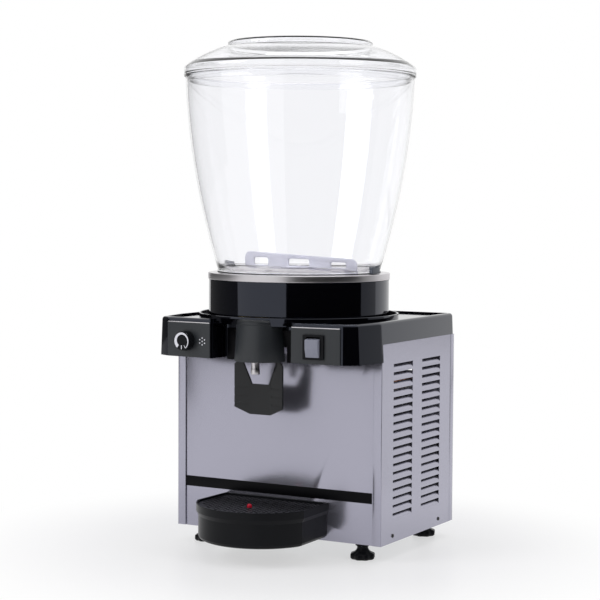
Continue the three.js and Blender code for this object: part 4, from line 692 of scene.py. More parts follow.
def louvre_lip(bm, side, y, z, size):
    """A lip that is cut free at its top and both ends, and bends in towards the open slot."""
    tall = size.louvre_height - size.louvre_opening
    face, bend = high("side_panel_right").x, 1.6
    centre_z = z - size.louvre_opening - tall / 2
    upright_frame = Matrix(((0, 0, side, side * face), (1, 0, 0, y), (0, 1, 0, centre_z), (0, 0, 0, 1)))
    half = Matrix.Diagonal((size.louvre_length / 2 - THIN, tall / 2, 1.0, 1.0))
    grid = bmesh.ops.create_grid(bm, x_segments=14, y_segments=4, size=1.0, matrix=upright_frame @ half)
    for vert in grid["verts"]:
        rise = max(0.0, (vert.co.z - (z - size.louvre_height)) / tall)
        vert.co.x -= side * size.louvre_dip * rise ** bend
    raised(bm, once(face for vert in grid["verts"] for face in vert.link_faces), (-side * SHEET, 0.0, 0.0))


def side_panel(side, word):
    """A side panel with its two columns of louvres."""
    size = settings("cabinet")
    node = "side_panel_" + word
    bottom, top = low(node), high(node)
    outer = side * max(abs(bottom.x), abs(top.x))
    bm = bmesh.new()
    edges = loop_of(bm, [(outer, bottom.y, bottom.z), (outer, top.y, bottom.z), (outer, top.y, top.z),
                         (outer, bottom.y, top.z)])
    centre = (bottom.y + top.y) / 2
    places = [(centre + half * size.column_pitch / 2, top.z - size.first_row - row * size.louvre_pitch)
              for half in (-1, 1) for row in range(size.louvre_rows)]
    half = size.louvre_length / 2
    for y, z in places:
        foot = z - size.louvre_height
        edges += loop_of(bm, [(outer, y - half, foot), (outer, y + half, foot), (outer, y + half, z),
                              (outer, y - half, z)])
    screw = high("side_screw_right_front").z - low("side_screw_right_front").z
    for which in ("front", "rear"):
        place = middle(f"side_screw_{word}_{which}")
        ring = bmesh.ops.create_circle(bm, cap_ends=False, radius=screw / 2 - GAP * 2, segments=20,
                                       matrix=Matrix.Translation((outer, place.y, place.z))
                                       @ Matrix.Rotation(math.pi / 2, 4, "Y"))
        edges += once(edge for vert in ring["verts"] for edge in vert.link_edges)
    raised(bm, filled(bm, edges, (side, 0, 0)), (-side * SHEET, 0.0, 0.0))
    bmesh.ops.recalc_face_normals(bm, faces=bm.faces)
    for y, z in places:
        louvre_lip(bm, side, y, z, size)
    piece(bm, f"louvred_side_{word}", "brushed_steel", "cabinet", [node])


def make_sides():
    """Both louvred side panels."""
    side_panel(-1, "left")
    side_panel(1, "right")


def make_front():
    """The corner strips, the steel front and its black band."""
    for word in ("left", "right"):
        refine("front_post_" + word, "corner_strip_" + word, "brushed_steel", 0.0003, 2)
    refine("front_panel", "steel_front", "brushed_steel", 0.0003, 2)
    refine("front_band", "black_band", "deep_black", 0.0002, 2)


def make_rear():
    """The folded rear panel and the cable gland."""
    refine("rear_panel", "folded_rear", "brushed_steel", 0.0003, 2)
    start, centre, size = low("cable_gland"), middle("cable_gland"), high("cable_gland") - low("cable_gland")
    radius = size.z / 2
    # The gland's sleeve, as shares of its radius and its length
    sleeve = ((0.36, 0.0), (0.74, 0.0), (0.78, 0.42), (0.78, 0.80), (0.62, 1.0), (0.36, 1.0))
    nut_height, nut_place = size.y * 0.22, size.y * 0.60
    bm = bmesh.new()
    turned(bm, [(radius * wide, size.y * along) for wide, along in sleeve], (0.0, 0.0), 48)
    bmesh.ops.create_cone(bm, cap_ends=True, cap_tris=False, segments=6, radius1=radius, radius2=radius,
                          depth=nut_height, matrix=Matrix.Translation((0, 0, nut_place)))
    soften(bm, 0.0005, 2)
    way = Matrix.Translation((centre.x, start.y, centre.z)) @ Matrix.Rotation(-math.pi / 2, 4, "X")
    bmesh.ops.transform(bm, matrix=way, verts=bm.verts)
    piece(bm, "rear_gland", "black_plastic", "cabinet", ["cable_gland"])


def make_screws():
    """The four screws of the side panels, each with a cross in its head."""
    height, shank = 0.0014, 0.005
    for side, word in ((-1, "left"), (1, "right")):
        for which in ("front", "rear"):
            node = f"side_screw_{word}_{which}"
            place = middle(node)
            radius = (high(node).z - low(node).z) / 2
            face = side * max(abs(low(node).x), abs(high(node).x))
            bm = bmesh.new()
            turned(bm, [(0.0, height), (radius * 0.55, height), (radius * 0.85, height * 0.75),
                        (radius, height * 0.25), (radius, 0.0), (radius * 0.56, 0.0), (radius * 0.56, -shank),
                        (0.0, -shank)], (0.0, 0.0), 28)
            soften(bm, 0.0002, 2)
            for turn in (0.0, math.pi / 2):
                arm = Matrix.Translation((0, 0, height)) @ Matrix.Rotation(turn, 4, "Z")
                box_of(bm, arm, (radius * 1.1, radius * 0.22, THIN))
            way = Matrix.Translation((face - side * height, place.y, place.z)) @ Matrix.Rotation(
                side * math.pi / 2, 4, "Y")
            bmesh.ops.transform(bm, matrix=way, verts=bm.verts)
            piece(bm, f"screw_{word}_{which}", "black_paint", "cabinet", [node])


def make_feet():
    """The four levelling feet: a lobed disc on a neck."""
    bodies = {"front_left": "foot_fl", "front_right": "foot_fr", "rear_left": "foot_rl",
              "rear_right": "foot_rr"}
    lobes, lobe_share, disc_top = 8, 0.05, 0.0125
    for word, body in bodies.items():
        node = "foot_" + word
        centre, top = middle(node), high(node).z
        radius = (high(node).x - low(node).x) / 2 / (1 + lobe_share)
        bm = bmesh.new()
        profile = [(0.0, 0.0), (radius * 0.89, 0.0), (radius, 0.002), (radius, 0.0068),
                   (radius * 0.96, 0.0082), (radius * 0.66, 0.0105), (radius * 0.52, 0.0135),
                   (radius * 0.45, 0.0165), (0.0085, 0.0190), (0.0105, 0.0196), (0.0105, 0.0236),
                   (0.004, 0.0237), (0.004, top), (0.0, top)]
        turned(bm, profile, (centre.x, centre.y), 64)
        for vert in bm.verts:
            spoke = Vector((vert.co.x - centre.x, vert.co.y - centre.y))
            if vert.co.z < disc_top and spoke.length > radius * 0.6:
                swell = 1 + lobe_share * math.cos(lobes * math.atan2(spoke.y, spoke.x))
                vert.co.x, vert.co.y = centre.x + spoke.x * swell, centre.y + spoke.y * swell
        soften(bm, 0.0004, 2, math.radians(50))
        piece(bm, "levelling_foot_" + word, "black_plastic", body, [node])


# Top cover, drum and steel plate


def cover_half():
    """Half of the cover's plan: the bay, the control face, a facet, the side and its rear corner."""
    side, back = high("top_cover").x, high("top_cover").y
    front, facet = FRONT_Y - PANEL_REACH, (0.1645, 0.0155)
    return [(BAY_HALF, FRONT_Y - BAY_DEPTH), (PANEL_START, front), (PANEL_END, front + PANEL_FALL),
            (facet[0], front + facet[1]), (side, FRONT_Y - 0.005), (side, back)]


def upright(edge):
    """Whether an edge runs up and down."""
    return abs(edge.verts[0].co.z - edge.verts[1].co.z) > WELD


def at_bay(edge):
    """Whether an edge stands at the bay for the tap."""
    return edge.verts[0].co.y < BOWL_Y and abs(edge.verts[0].co.x) < BAY_HALF + settings("cover").rim * 2


def cover_block(bm, bottom, top):
    """The cover as a block with round upright corners, and with its top let in inside a rim."""
    size = settings("cover")
    half = cover_half()
    plan = half + [(-x, y) for x, y in reversed(half)]
    base = bm.faces.new([bm.verts.new((x, y, bottom)) for x, y in plan])
    raised(bm, [base], (0, 0, top - bottom))
    rounded(bm, [edge for edge in bm.edges if upright(edge) and edge.verts[0].co.y > BOWL_Y],
            size.rear_corner, 6)
    rounded(bm, [edge for edge in bm.edges if upright(edge) and edge.verts[0].co.y < BOWL_Y
                 and not at_bay(edge)], size.corner, 4)
    bmesh.ops.recalc_face_normals(bm, faces=bm.faces)
    upper = [face for face in bm.faces if face.normal.z > 0.9]
    bmesh.ops.inset_region(bm, faces=upper, thickness=size.rim, use_even_offset=True)
    raised(bm, upper, (0, 0, -size.recess))
    rounded(bm, [edge for edge in bm.edges if upright(edge) and at_bay(edge)
                 and min(vert.co.z for vert in edge.verts) < bottom + THIN], size.corner, 4)
    rounded(bm, [edge for edge in bm.edges if upright(edge) and at_bay(edge)
                 and abs(min(vert.co.z for vert in edge.verts) - top + size.recess) < THIN
                 and edge.calc_face_angle(0.0) > FLAT * 2], size.corner * 0.7, 4)


def round_rim(bm, top):
    """Rounds the rim's outer edge, which is left sharp beside the bay, and then its inner edge."""
    size = settings("cover")
    start = BAY_HALF + size.rim
    for side in (-1, 1):
        ahead = [face for face in bm.faces if face.calc_center_median().y < FRONT_Y]
        slice_at(bm, ahead, (side * start, 0, 0), (1, 0, 0))
    for inside, width in ((False, size.edge), (True, size.inner_edge)):
        rim = [edge for edge in bm.edges if len(edge.link_faces) == 2 and edge.calc_face_angle(0.0) > SHARP
               and min(vert.co.z for vert in edge.verts) > top - WELD
               and (inside or min(abs(vert.co.x) for vert in edge.verts) > start - WELD
                    or edge.verts[0].co.y > BOWL_Y)
               and inside == (min(vert.co.z for face in edge.link_faces for vert in face.verts)
                              > top - size.recess - THIN)]
        rounded(bm, rim, width, 4)


def make_top_cover():
    """The black cover: an apron in front, sides, a raised rim and a recessed top with a round opening."""
    size = settings("cover")
    bottom, side_bottom = COVER_FOOT, high("front_panel").z + GAP
    top = high("top_cover").z - size.gutter_rise
    crease, sides = math.radians(24), 0.150
    bm = bmesh.new()
    cover_block(bm, bottom, top)
    round_rim(bm, top)
    slice_at(bm, bm.faces[:], (0, 0, top - size.recess), (0, 0, 1))
    for side in (-1, 1):
        end_rim(bm, side, top - size.recess)
    open_floor(bm, top - size.recess)
    switch_hole(bm)
    trim_apron(bm, bottom, side_bottom)
    open_bay(bm)
    for vert in bm.verts:
        if abs(vert.co.x) > sides:
            vert.co.x -= math.copysign(size.draft * (vert.co.z - bottom), vert.co.x)
    bmesh.ops.remove_doubles(bm, verts=bm.verts, dist=WELD)
    bmesh.ops.recalc_face_normals(bm, faces=bm.faces)
    # An open sheet may come out inside out, so its foremost face tells
    foremost = min(bm.faces, key=lambda face: face.calc_center_median().y)
    if foremost.normal.y > 0:
        bmesh.ops.reverse_faces(bm, faces=bm.faces)
    made = piece(bm, "black_cover", "gloss_black", "cabinet", ["top_cover"], crease=crease,
                 solid=False)
    thickened(made, size.wall, crease)


def end_rim(bm, side, level):
    """Ends the rim where it meets the gutter wall, and takes it away from there to the bay's middle."""
    size = settings("cover")
    reach = size.gutter - size.gutter_wall / 2
    x = BAY_HALF + size.rim - 0.0012
    way = Vector((side * x, -math.sqrt(reach ** 2 - x ** 2), 0.0)).normalized()
    axis = Vector((0.0, BOWL_Y, level))
    crossing = axis + way * reach
    near = [face for face in bm.faces if face.calc_center_median().z > level + THIN
            and (face.calc_center_median().xy - crossing.xy).length < size.rim * 2.5]
    slice_at(bm, near, crossing, way)
    gone = []
    for face in bm.faces:
        centre = face.calc_center_median()
        inside = (centre - axis).dot(way) < reach and centre.y < FRONT_Y
        if centre.z > level + THIN and inside and -THIN < side * centre.x < BAY_HALF + size.rim * 2:
            gone.append(face)
    bmesh.ops.delete(bm, geom=gone, context="FACES")
    chain = [edge for edge in bm.edges if len(edge.link_faces) == 1 and all(
        abs((vert.co - crossing).dot(way)) < THIN / 10 and vert.co.z > level - THIN for vert in edge.verts)
        and side * edge.verts[0].co.x > 0]
    ends = [vert for edge in chain for vert in edge.verts if abs(vert.co.z - level) < THIN]
    foot = bm.edges.new(ends)
    bmesh.ops.edgeloop_fill(bm, edges=[*chain, foot])


def open_floor(bm, level):
    """The recessed floor again, with a round opening under the drum."""
    floor = [face for face in bm.faces
             if face.normal.z > 0.9 and abs(face.calc_center_median().z - level) < THIN]
    bmesh.ops.delete(bm, geom=floor, context="FACES")
    rim = [edge for edge in bm.edges if len(edge.link_faces) == 1
           and max(abs(vert.co.z - level) for vert in edge.verts) < THIN]
    opening = circle_of(bm, (0.0, BOWL_Y, level), settings("cover").opening, 96)
    filled(bm, rim + opening)


def switch_hole(bm):
    """Opens the right control face behind the switch."""
    place = panel_place(1)
    way = place.to_3x3() @ Vector((0, -1, 0))
    face = max((face for face in bm.faces if face.normal.dot(way) > 0.999), key=lambda one: one.calc_area())
    rim = list(face.edges)
    bmesh.ops.delete(bm, geom=[face], context="FACES_ONLY")
    housing = high("switch_housing") - low("switch_housing")
    wide, tall = housing.x / 2 - 0.003, housing.z / 2 - 0.002
    corners = [(-wide, -tall), (wide, -tall), (wide, tall), (-wide, tall)]
    hole = loop_of(bm, [place @ Vector((SWITCH_X + x, 0.0, CONTROL_Z + z)) for x, z in corners])
    filled(bm, rim + hole, way)


def bay_wall(bm):
    """The faces of the bay's back wall."""
    wall = []
    for face in bm.faces:
        centre = face.calc_center_median()
        if (abs(face.normal.y) > 0.9 and abs(centre.x) < BAY_HALF
                and abs(centre.y - FRONT_Y + BAY_DEPTH) < GAP):
            wall.append(face)
    return wall


def open_bay(bm):
    """Opens the back wall of the bay behind the tap plate, so that the lever has room to swing."""
    half, top = high("tap_housing").x - PLATE_LAP, high("tap_housing").z - PLATE_LAP
    for place, way in (((-half, 0, 0), (1, 0, 0)), ((half, 0, 0), (1, 0, 0)), ((0, 0, top), (0, 0, 1))):
        slice_at(bm, bay_wall(bm), place, way)
    gone = [face for face in bay_wall(bm) if abs(face.calc_center_median().x) < half
            and face.calc_center_median().z < top]
    bmesh.ops.delete(bm, geom=gone, context="FACES")


def trim_apron(bm, bottom, side_bottom):
    """Takes away the underside, and the skirt below the sides and the back."""
    plane = FRONT_Y - GAP
    slice_at(bm, bm.faces[:], (0, plane, 0), (0, 1, 0))
    slice_at(bm, bm.faces[:], (0, 0, side_bottom), (0, 0, 1))
    gone = []
    for face in bm.faces:
        centre = face.calc_center_median()
        if centre.z < bottom + THIN or (centre.y > plane and centre.z < side_bottom):
            gone.append(face)
    bmesh.ops.delete(bm, geom=gone, context="FACES")


def in_notch(place, half):
    """Whether a place lies in front of the bowl's axis, within an angle."""
    return abs(math.atan2(place.x, BOWL_Y - place.y)) < half


def reach_of(vert):
    """How far a vertex stands from the bowl's axis."""
    return math.hypot(vert.co.x, vert.co.y - BOWL_Y)


def notched_turn(bm, profile, bridge, half_width):
    """A turned ring with a gap in front for the tap, below the height of the bridge over it."""
    turned(bm, profile, AXIS)
    bmesh.ops.remove_doubles(bm, verts=bm.verts, dist=WELD)
    outer = max(radius for radius, _ in profile)
    half = math.asin(half_width / outer)
    gone = [face for face in bm.faces if face.calc_center_median().z < bridge
            and in_notch(face.calc_center_median(), half)]
    bmesh.ops.delete(bm, geom=gone, context="FACES")
    # The edges that run across the wall are closed by the faces between the other ones
    sides = [edge for edge in bm.edges if len(edge.link_faces) == 1
             and abs(reach_of(edge.verts[0]) - reach_of(edge.verts[1])) <= THIN]
    outside = [edge for edge in sides if min(reach_of(vert) for vert in edge.verts) > outer - THIN]
    inside = [edge for edge in sides if edge not in outside]
    bmesh.ops.bridge_loops(bm, edges=outside + inside)


def make_gutter():
    """The round gutter wall on the cover, and its floor beside the tap."""
    size = settings("cover")
    top = high("top_cover").z
    floor = top - size.gutter_rise - size.recess
    bridge = high("tap_cover").z + GAP
    outer, inner, lip = size.gutter, size.gutter - size.gutter_wall, 0.0006
    bm = bmesh.new()
    notched_turn(bm, [(inner, floor), (inner, bridge), (inner, top - lip), (inner + lip, top),
                      (outer - lip, top), (outer, top - lip), (outer, bridge), (outer, floor)],
                 bridge, GUTTER_NOTCH)
    start, end = math.asin(GUTTER_NOTCH / outer), math.asin(GUTTER_NOTCH_END / outer)
    drum = high("drum").x - 0.010
    for first in (-math.pi / 2 + start, -math.pi / 2 - end):
        turned(bm, [(drum, floor), (inner, floor), (inner, floor - size.wall), (drum, floor - size.wall)],
               AXIS, None, first, end - start)
    piece(bm, "gutter_wall", "gloss_black", "cabinet")


def make_drum():
    """The black drum under the bowl."""
    bottom, top = low("drum"), high("drum")
    radius, wall = top.x, 0.003
    bridge = high("top_cover").z + 0.0005
    shoulder = low("steel_plate").z - GAP
    neck = high("steel_plate").x - 0.0018
    bm = bmesh.new()
    notched_turn(bm, [(radius - wall, bottom.z), (radius, bottom.z), (radius, bridge), (radius, shoulder),
                      (neck, shoulder), (neck, top.z), (radius - wall, top.z), (radius - wall, bridge)],
                 bridge, DRUM_NOTCH)
    piece(bm, "black_drum", "gloss_black", "cabinet", ["drum"])


def make_steel_plate():
    """The chilled plate: a flat floor with a rounded edge turned down over the drum, and its outlet."""
    size = settings("cover")
    bottom, top = low("steel_plate"), high("steel_plate")
    radius, sheet, border = top.x, 0.0015, 0.011
    bm = bmesh.new()
    turned(bm, [(0.0, top.z), (radius - border, top.z), (radius - border + 0.0005, top.z - GAP),
                (radius, top.z - GAP), (radius, bottom.z), (radius - sheet, bottom.z),
                (radius - sheet, top.z - 0.002), (0.0, top.z - 0.002)], AXIS)
    soften(bm, size.plate_edge, 4, SHARP,
           lambda edge: min(reach_of(vert) for vert in edge.verts) > radius - THIN)
    plate = piece(bm, "chilled_plate", "satin_steel", "cabinet", ["steel_plate"])
    plate.data.materials.append(finish("bright_steel"))
    for face in plate.data.polygons:
        face.material_index = int(face.normal.z > 0.9)
    bm = bmesh.new()
    rise = THIN * 2
    turned(bm, [(0.0034, top.z - rise), (0.0034, top.z + rise), (0.0050, top.z + rise), (0.0054, top.z)],
           (0.0, middle("outlet_pipe").y), 32)
    piece(bm, "outlet_rim", "seal_rubber", "cabinet")


def make_catches():
    """The two clips that hold the bowl's foot."""
    for word in ("left", "right"):
        refine("bowl_catch_" + word, "foot_clip_" + word, "grey_plastic", 0.0006, 3)


def make_gasket():
    """The seal ring under the bowl."""
    bottom, top, wide = low("bowl_gasket"), high("bowl_gasket"), 0.0055
    bm = bmesh.new()
    turned(bm, [(top.x - wide, bottom.z), (top.x, bottom.z), (top.x, top.z), (top.x - wide, top.z)], AXIS)
    soften(bm, 0.0003, 2)
    piece(bm, "foot_seal", "seal_rubber", "cabinet", ["bowl_gasket"])


# Bowl, lid and paddle


def bowl_radius(at):
    """The bowl's outer radius at a share of its height."""
    size = settings("bowl")
    foot, rim = size.foot - size.lip, high("bowl").x
    swell = size.straight_share * at + (1 - size.straight_share) * (1 - (1 - at) ** size.curve_power)
    return foot + (rim - foot) * swell


def make_bowl():
    """The clear bowl: a ring to stand on, and a wall that swells to the rim."""
    size = settings("bowl")
    bottom, top = low("bowl").z, high("bowl").z
    height, step_count, thicker = top - bottom, 36, 0.0012
    first = size.foot_height / height
    shares = [first + (1 - first) * (i / step_count) for i in range(step_count + 1)]
    outer = [(bowl_radius(at), bottom + height * at) for at in shares]
    inner = [(radius - size.wall, z) for radius, z in outer]
    inner[0] = (bowl_radius(first) - size.wall - thicker, bottom + size.foot_height)
    inner[-1] = (outer[-1][0] - size.wall, top)
    foot, foot_top, foot_inside = size.foot, bottom + size.foot_height, size.foot - size.foot_width
    profile = [(foot, bottom), (foot, foot_top - size.lip), *outer, *reversed(inner), (foot_inside, foot_top),
               (foot_inside, bottom)]
    bm = bmesh.new()
    turned(bm, profile, AXIS)
    soften(bm, 0.0006, 3, math.radians(35))
    piece(bm, "clear_bowl", "clear_plastic", "bowl", ["bowl"], crease=math.radians(60))


def make_lid():
    """The clear lid: a band over the rim, a shallow cone and a raised disc."""
    size = settings("bowl")
    top, outer, rim, wall = high("lid").z, high("lid").x, high("bowl").x, size.lid_wall
    seat, cone_top = high("bowl").z + GAP, top - size.lid_disc_rise
    band_bottom = seat - 0.002
    band_top = band_bottom + size.lid_band
    slope_start, skirt_foot = band_top - 0.004, seat - 0.010
    shoulder, bulge, step_count = outer - 0.005, 0.12 * (cone_top - band_top), 10
    cone = []
    for i in range(step_count + 1):
        at = i / step_count
        cone.append((shoulder + (size.lid_disc - shoulder) * at,
                     band_top + (cone_top - band_top) * at + 4 * at * (1 - at) * bulge))
    skirt = rim - size.wall - 0.001
    outside = [(0.0, top), (size.lid_disc - 0.002, top), (size.lid_disc, top - 0.002), *reversed(cone),
               (outer, slope_start), (outer, band_bottom)]
    inside = [(rim + 0.001, band_bottom), (rim + 0.001, seat), (skirt, seat), (skirt, skirt_foot),
              (skirt - wall, skirt_foot), (skirt - wall, seat + wall), (outer - wall, seat + wall),
              (outer - wall, slope_start), *[(radius - wall / 3, z - wall) for radius, z in cone[:-1]],
              (size.lid_disc - wall, cone_top - wall / 2), (size.lid_disc - wall, top - wall),
              (0.0, top - wall)]
    bm = bmesh.new()
    turned(bm, outside + inside, AXIS)
    soften(bm, 0.0007, 3, math.radians(35))
    piece(bm, "clear_lid", "clear_plastic", "lid", ["lid"], crease=math.radians(60))


def arc_points(x, z, radius, start, sweep, steps):
    """Points on an arc, as (across, up)."""
    turns = [start + sweep * i / steps for i in range(steps + 1)]
    return [(x + radius * math.cos(turn), z + radius * math.sin(turn)) for turn in turns]


def rounded_rectangle(x0, z0, x1, z1, corner):
    """Corner points of an upright rectangle with round corners, as (across, up)."""
    quarter = math.pi / 2
    points = []
    for turn, (x, z) in enumerate(((x1 - corner, z1 - corner), (x0 + corner, z1 - corner),
                                   (x0 + corner, z0 + corner), (x1 - corner, z0 + corner))):
        points += arc_points(x, z, corner, turn * quarter, quarter, 4)
    return points


def make_blade(bm, bottom):
    """The paddle's blade, with a high end, a low end and three windows."""
    size = settings("bowl")
    half, corner, quarter = size.blade_length / 2, size.blade_corner, math.pi / 2
    tall, short, foot = high("paddle").z, bottom + size.blade_low, bottom + size.window_foot
    outline = [(-half, bottom), (half, bottom),
               *arc_points(half - corner, short - corner, corner, 0.0, quarter, 8),
               *arc_points(-half + corner, tall - corner, corner, quarter, quarter, 8)]
    # Each window's ends along the blade, and its height
    windows = ((-0.092, -0.062, 0.0155), (-0.021, 0.021, 0.0150), (0.062, 0.092, 0.0115))
    window_corner = 0.0038
    front = -size.blade_thickness / 2
    edges = []
    for points in (outline, *(rounded_rectangle(x0, foot, x1, foot + height, window_corner)
                              for x0, x1, height in windows)):
        edges += loop_of(bm, [(x, front, z) for x, z in points])
    raised(bm, filled(bm, edges, (0, 1, 0)), (0.0, size.blade_thickness, 0.0))


def make_paddle():
    """The paddle on the bowl's floor, its low hub, and the pin that it turns on."""
    size = settings("bowl")
    bottom = low("paddle").z
    base, collar, bore, pin_top = 0.028, 0.0135, 0.0085, bottom + 0.0075
    bm = bmesh.new()
    make_blade(bm, bottom)
    turned(bm, [(bore, bottom), (base, bottom), (base, bottom + 0.0026), (collar, bottom + 0.0034),
                (collar, bottom + 0.0050), (bore, bottom + 0.0050)], (0.0, 0.0), 96)
    soften(bm, 0.0007, 3)
    way = Matrix.Translation((0.0, BOWL_Y, 0.0)) @ Matrix.Rotation(size.blade_turn, 4, "Z")
    bmesh.ops.transform(bm, matrix=way, verts=bm.verts)
    piece(bm, "stirring_paddle", "pale_plastic", "paddle", ["paddle"])
    foot = low("centre_pin").z
    bm = bmesh.new()
    turned(bm, [(0.0, foot), (0.007, foot), (0.007, foot + 0.002), (0.004, foot + 0.002),
                (0.004, pin_top - 0.002), (0.002, pin_top), (0.0, pin_top)], AXIS, 40)
    soften(bm, 0.0004, 2)
    piece(bm, "turning_pin", "bright_steel", "cabinet", ["centre_pin"])


# Control plates


def panel_place(side):
    """The frame of a control face: x along it, y into the cabinet, z up, from the cover's lower edge."""
    x, y = (PANEL_START + PANEL_END) / 2, FRONT_Y - PANEL_REACH + PANEL_FALL / 2
    return Matrix.Translation((side * x, y, COVER_FOOT)) @ Matrix.Rotation(side * PANEL_TURN, 4, "Z")


def plate_corners(side, word):
    """The corners of a control plate, in the frame of its control face."""
    inverse = panel_place(side).inverted()
    return [inverse @ vert.co for vert in NODES["control_plate_" + word].data.vertices]


# How far a control plate stands in front of its control face
PLATE_FACE = max(-corner.y for corner in plate_corners(-1, "left"))


def facing(side, x, depth, z):
    """A matrix whose z axis points out of a control plate, at a place on it."""
    return panel_place(side) @ Matrix.Translation((x, -depth, z)) @ Matrix.Rotation(math.pi / 2, 4, "X")


def make_plates():
    """The two control plates, each with a bright ledge along its top."""
    sunk, height, margin = 0.0002, 0.0014, 0.0015
    for side, word in ((-1, "left"), (1, "right")):
        refine("control_plate_" + word, "satin_plate_" + word, "satin_dark", 0.0009, 4)
        corners = plate_corners(side, word)
        first, last = min(one.x for one in corners), max(one.x for one in corners)
        top = max(one.z for one in corners)
        centre = Matrix.Translation(((first + last) / 2, -PLATE_FACE / 2, top - sunk))
        bm = bmesh.new()
        box_of(bm, panel_place(side) @ centre, (last - first - margin, PLATE_FACE + sunk, height))
        soften(bm, 0.0005, 3)
        piece(bm, "plate_ledge_" + word, "bright_steel", "cabinet")


def make_knob():
    """The knob, with a white arc and a pointer printed on its face."""
    size = settings("controls")
    radius, taper, base, tip = 0.0145, 0.0006, PLATE_FACE + GAP, PLATE_FACE + 0.013
    bm = bmesh.new()
    turned(bm, [(0.0, base), (radius - taper, base), (radius, base + 0.001), (radius - taper, tip),
                (0.0, tip)], (0.0, 0.0), 72)
    soften(bm, size.knob_edge, 4, SHARP, lambda edge: edge.verts[0].co.z > tip - THIN
           and edge.verts[1].co.z > tip - THIN)
    bmesh.ops.transform(bm, matrix=facing(-1, KNOB_X, 0.0, CONTROL_Z), verts=bm.verts)
    piece(bm, "thermostat_dial", "black_plastic", "knob", ["thermostat_knob"])
    bm = bmesh.new()
    knob_arc(bm, tip, size)
    bmesh.ops.transform(bm, matrix=facing(-1, KNOB_X, 0.0, CONTROL_Z), verts=bm.verts)
    piece(bm, "dial_marks", "printed_white", "knob")


def knob_arc(bm, tip, size):
    """A wedge of an arc that is open at the bottom, with a hook at its thin end and a pointer line."""
    count, start, sweep = 48, math.radians(232), math.radians(-282)
    pointer_half, pointer_low, pointer_high = 0.0007, -0.0118, -0.0062
    outer, inner = [], []
    for i in range(count + 1):
        at = i / count
        turn = start + sweep * at
        width = size.arc_thick + (size.arc_thin - size.arc_thick) * at
        for ring, reach in ((outer, size.arc_radius), (inner, size.arc_radius - width)):
            ring.append((reach * math.cos(turn), reach * math.sin(turn)))
    end = start + sweep
    x, y = size.arc_radius * math.cos(end), size.arc_radius * math.sin(end)
    hook_x, hook_y = x * 0.60, y * 0.66
    hook = [(x, y), (x - 0.001, y - 0.0006), (hook_x - 0.0006, hook_y), (hook_x, hook_y + 0.0006)]
    pointer = [(-pointer_half, pointer_low), (pointer_half, pointer_low), (pointer_half, pointer_high),
               (-pointer_half, pointer_high)]
    marks = [filled(bm, loop_of(bm, [(*point, tip) for point in mark]))
             for mark in (outer + inner[::-1], pointer, hook)]
    for faces in marks:
        raised(bm, faces, (0, 0, THIN))


def make_plate_marks():
    """A cooling sign of seven dots and a small tick, printed on the left plate."""
    size = settings("controls")
    sign_x, tick_x = 0.0247, KNOB_X - 0.0185
    dots = [(0.0, 0.0)] + [(size.dot_ring * math.sin(i * TURN / 6), size.dot_ring * math.cos(i * TURN / 6))
                           for i in range(6)]
    bm = bmesh.new()
    for x, z in dots:
        bmesh.ops.create_cone(bm, cap_ends=True, cap_tris=False, segments=20, radius1=size.dot,
                              radius2=size.dot, depth=THIN * 4,
                              matrix=facing(-1, sign_x + x, PLATE_FACE, CONTROL_Z + z))
    piece(bm, "plate_marks", "printed_white", "cabinet")
    bm = bmesh.new()
    box_of(bm, facing(-1, tick_x, PLATE_FACE, CONTROL_Z), (0.0040, 0.0016, THIN * 8))
    piece(bm, "plate_tick", "printed_pink", "cabinet")


def make_switch():
    """The rocker and the frame round it."""
    refine("switch_housing", "switch_frame", "black_plastic", 0.0007, 3)
    refine("switch_rocker", "rocker_key", "milky_white", 0.0008, 3, body="rocker",
           angle=math.radians(12))


# Tap


def half_turned(bm, profile, centre_y):
    """A turned shape cut off flat behind its axis."""
    turned(bm, profile, (0.0, centre_y), 96)
    bmesh.ops.remove_doubles(bm, verts=bm.verts, dist=WELD)
    cut = bmesh.ops.bisect_plane(bm, geom=bm.verts[:] + bm.edges[:] + bm.faces[:], dist=WELD,
                                 plane_co=(0, centre_y, 0), plane_no=(0, 1, 0), clear_outer=True)
    filled(bm, [edge for edge in cut["geom_cut"] if isinstance(edge, bmesh.types.BMEdge)], (0, 1, 0))


def make_tap_cover():
    """The half-round cover of the tap, with a bevelled cap and a fine groove under it."""
    size = settings("tap")
    bottom, top = low("tap_cover").z, high("tap_cover").z
    wide, back = high("tap_cover").x, high("tap_cover").y
    slope = (wide - size.cover_top) / (top - bottom)
    cap = size.cover_top + slope * size.cover_cap
    width, cut, wall = 0.0012, 0.0006, size.cover_wall
    groove = top - size.cover_cap - width
    profile = [(wide, bottom), (cap + slope * width, groove), (cap - cut, groove + 0.0004),
               (cap - cut, groove + 0.0010), (cap, top - size.cover_cap),
               (size.cover_top, top - size.cover_bevel), (size.cover_top - size.cover_bevel, top), (0.0, top),
               (0.0, top - wall), (size.cover_top - size.cover_bevel - wall / 2, top - wall),
               (cap - wall, top - size.cover_cap), (wide - wall, bottom)]
    bm = bmesh.new()
    half_turned(bm, profile, back)
    soften(bm, 0.0005, 2, math.radians(35), lambda edge: min(vert.co.y for vert in edge.verts) < back - THIN)
    piece(bm, "tap_shroud", "satin_dark", "cabinet", ["tap_cover"])


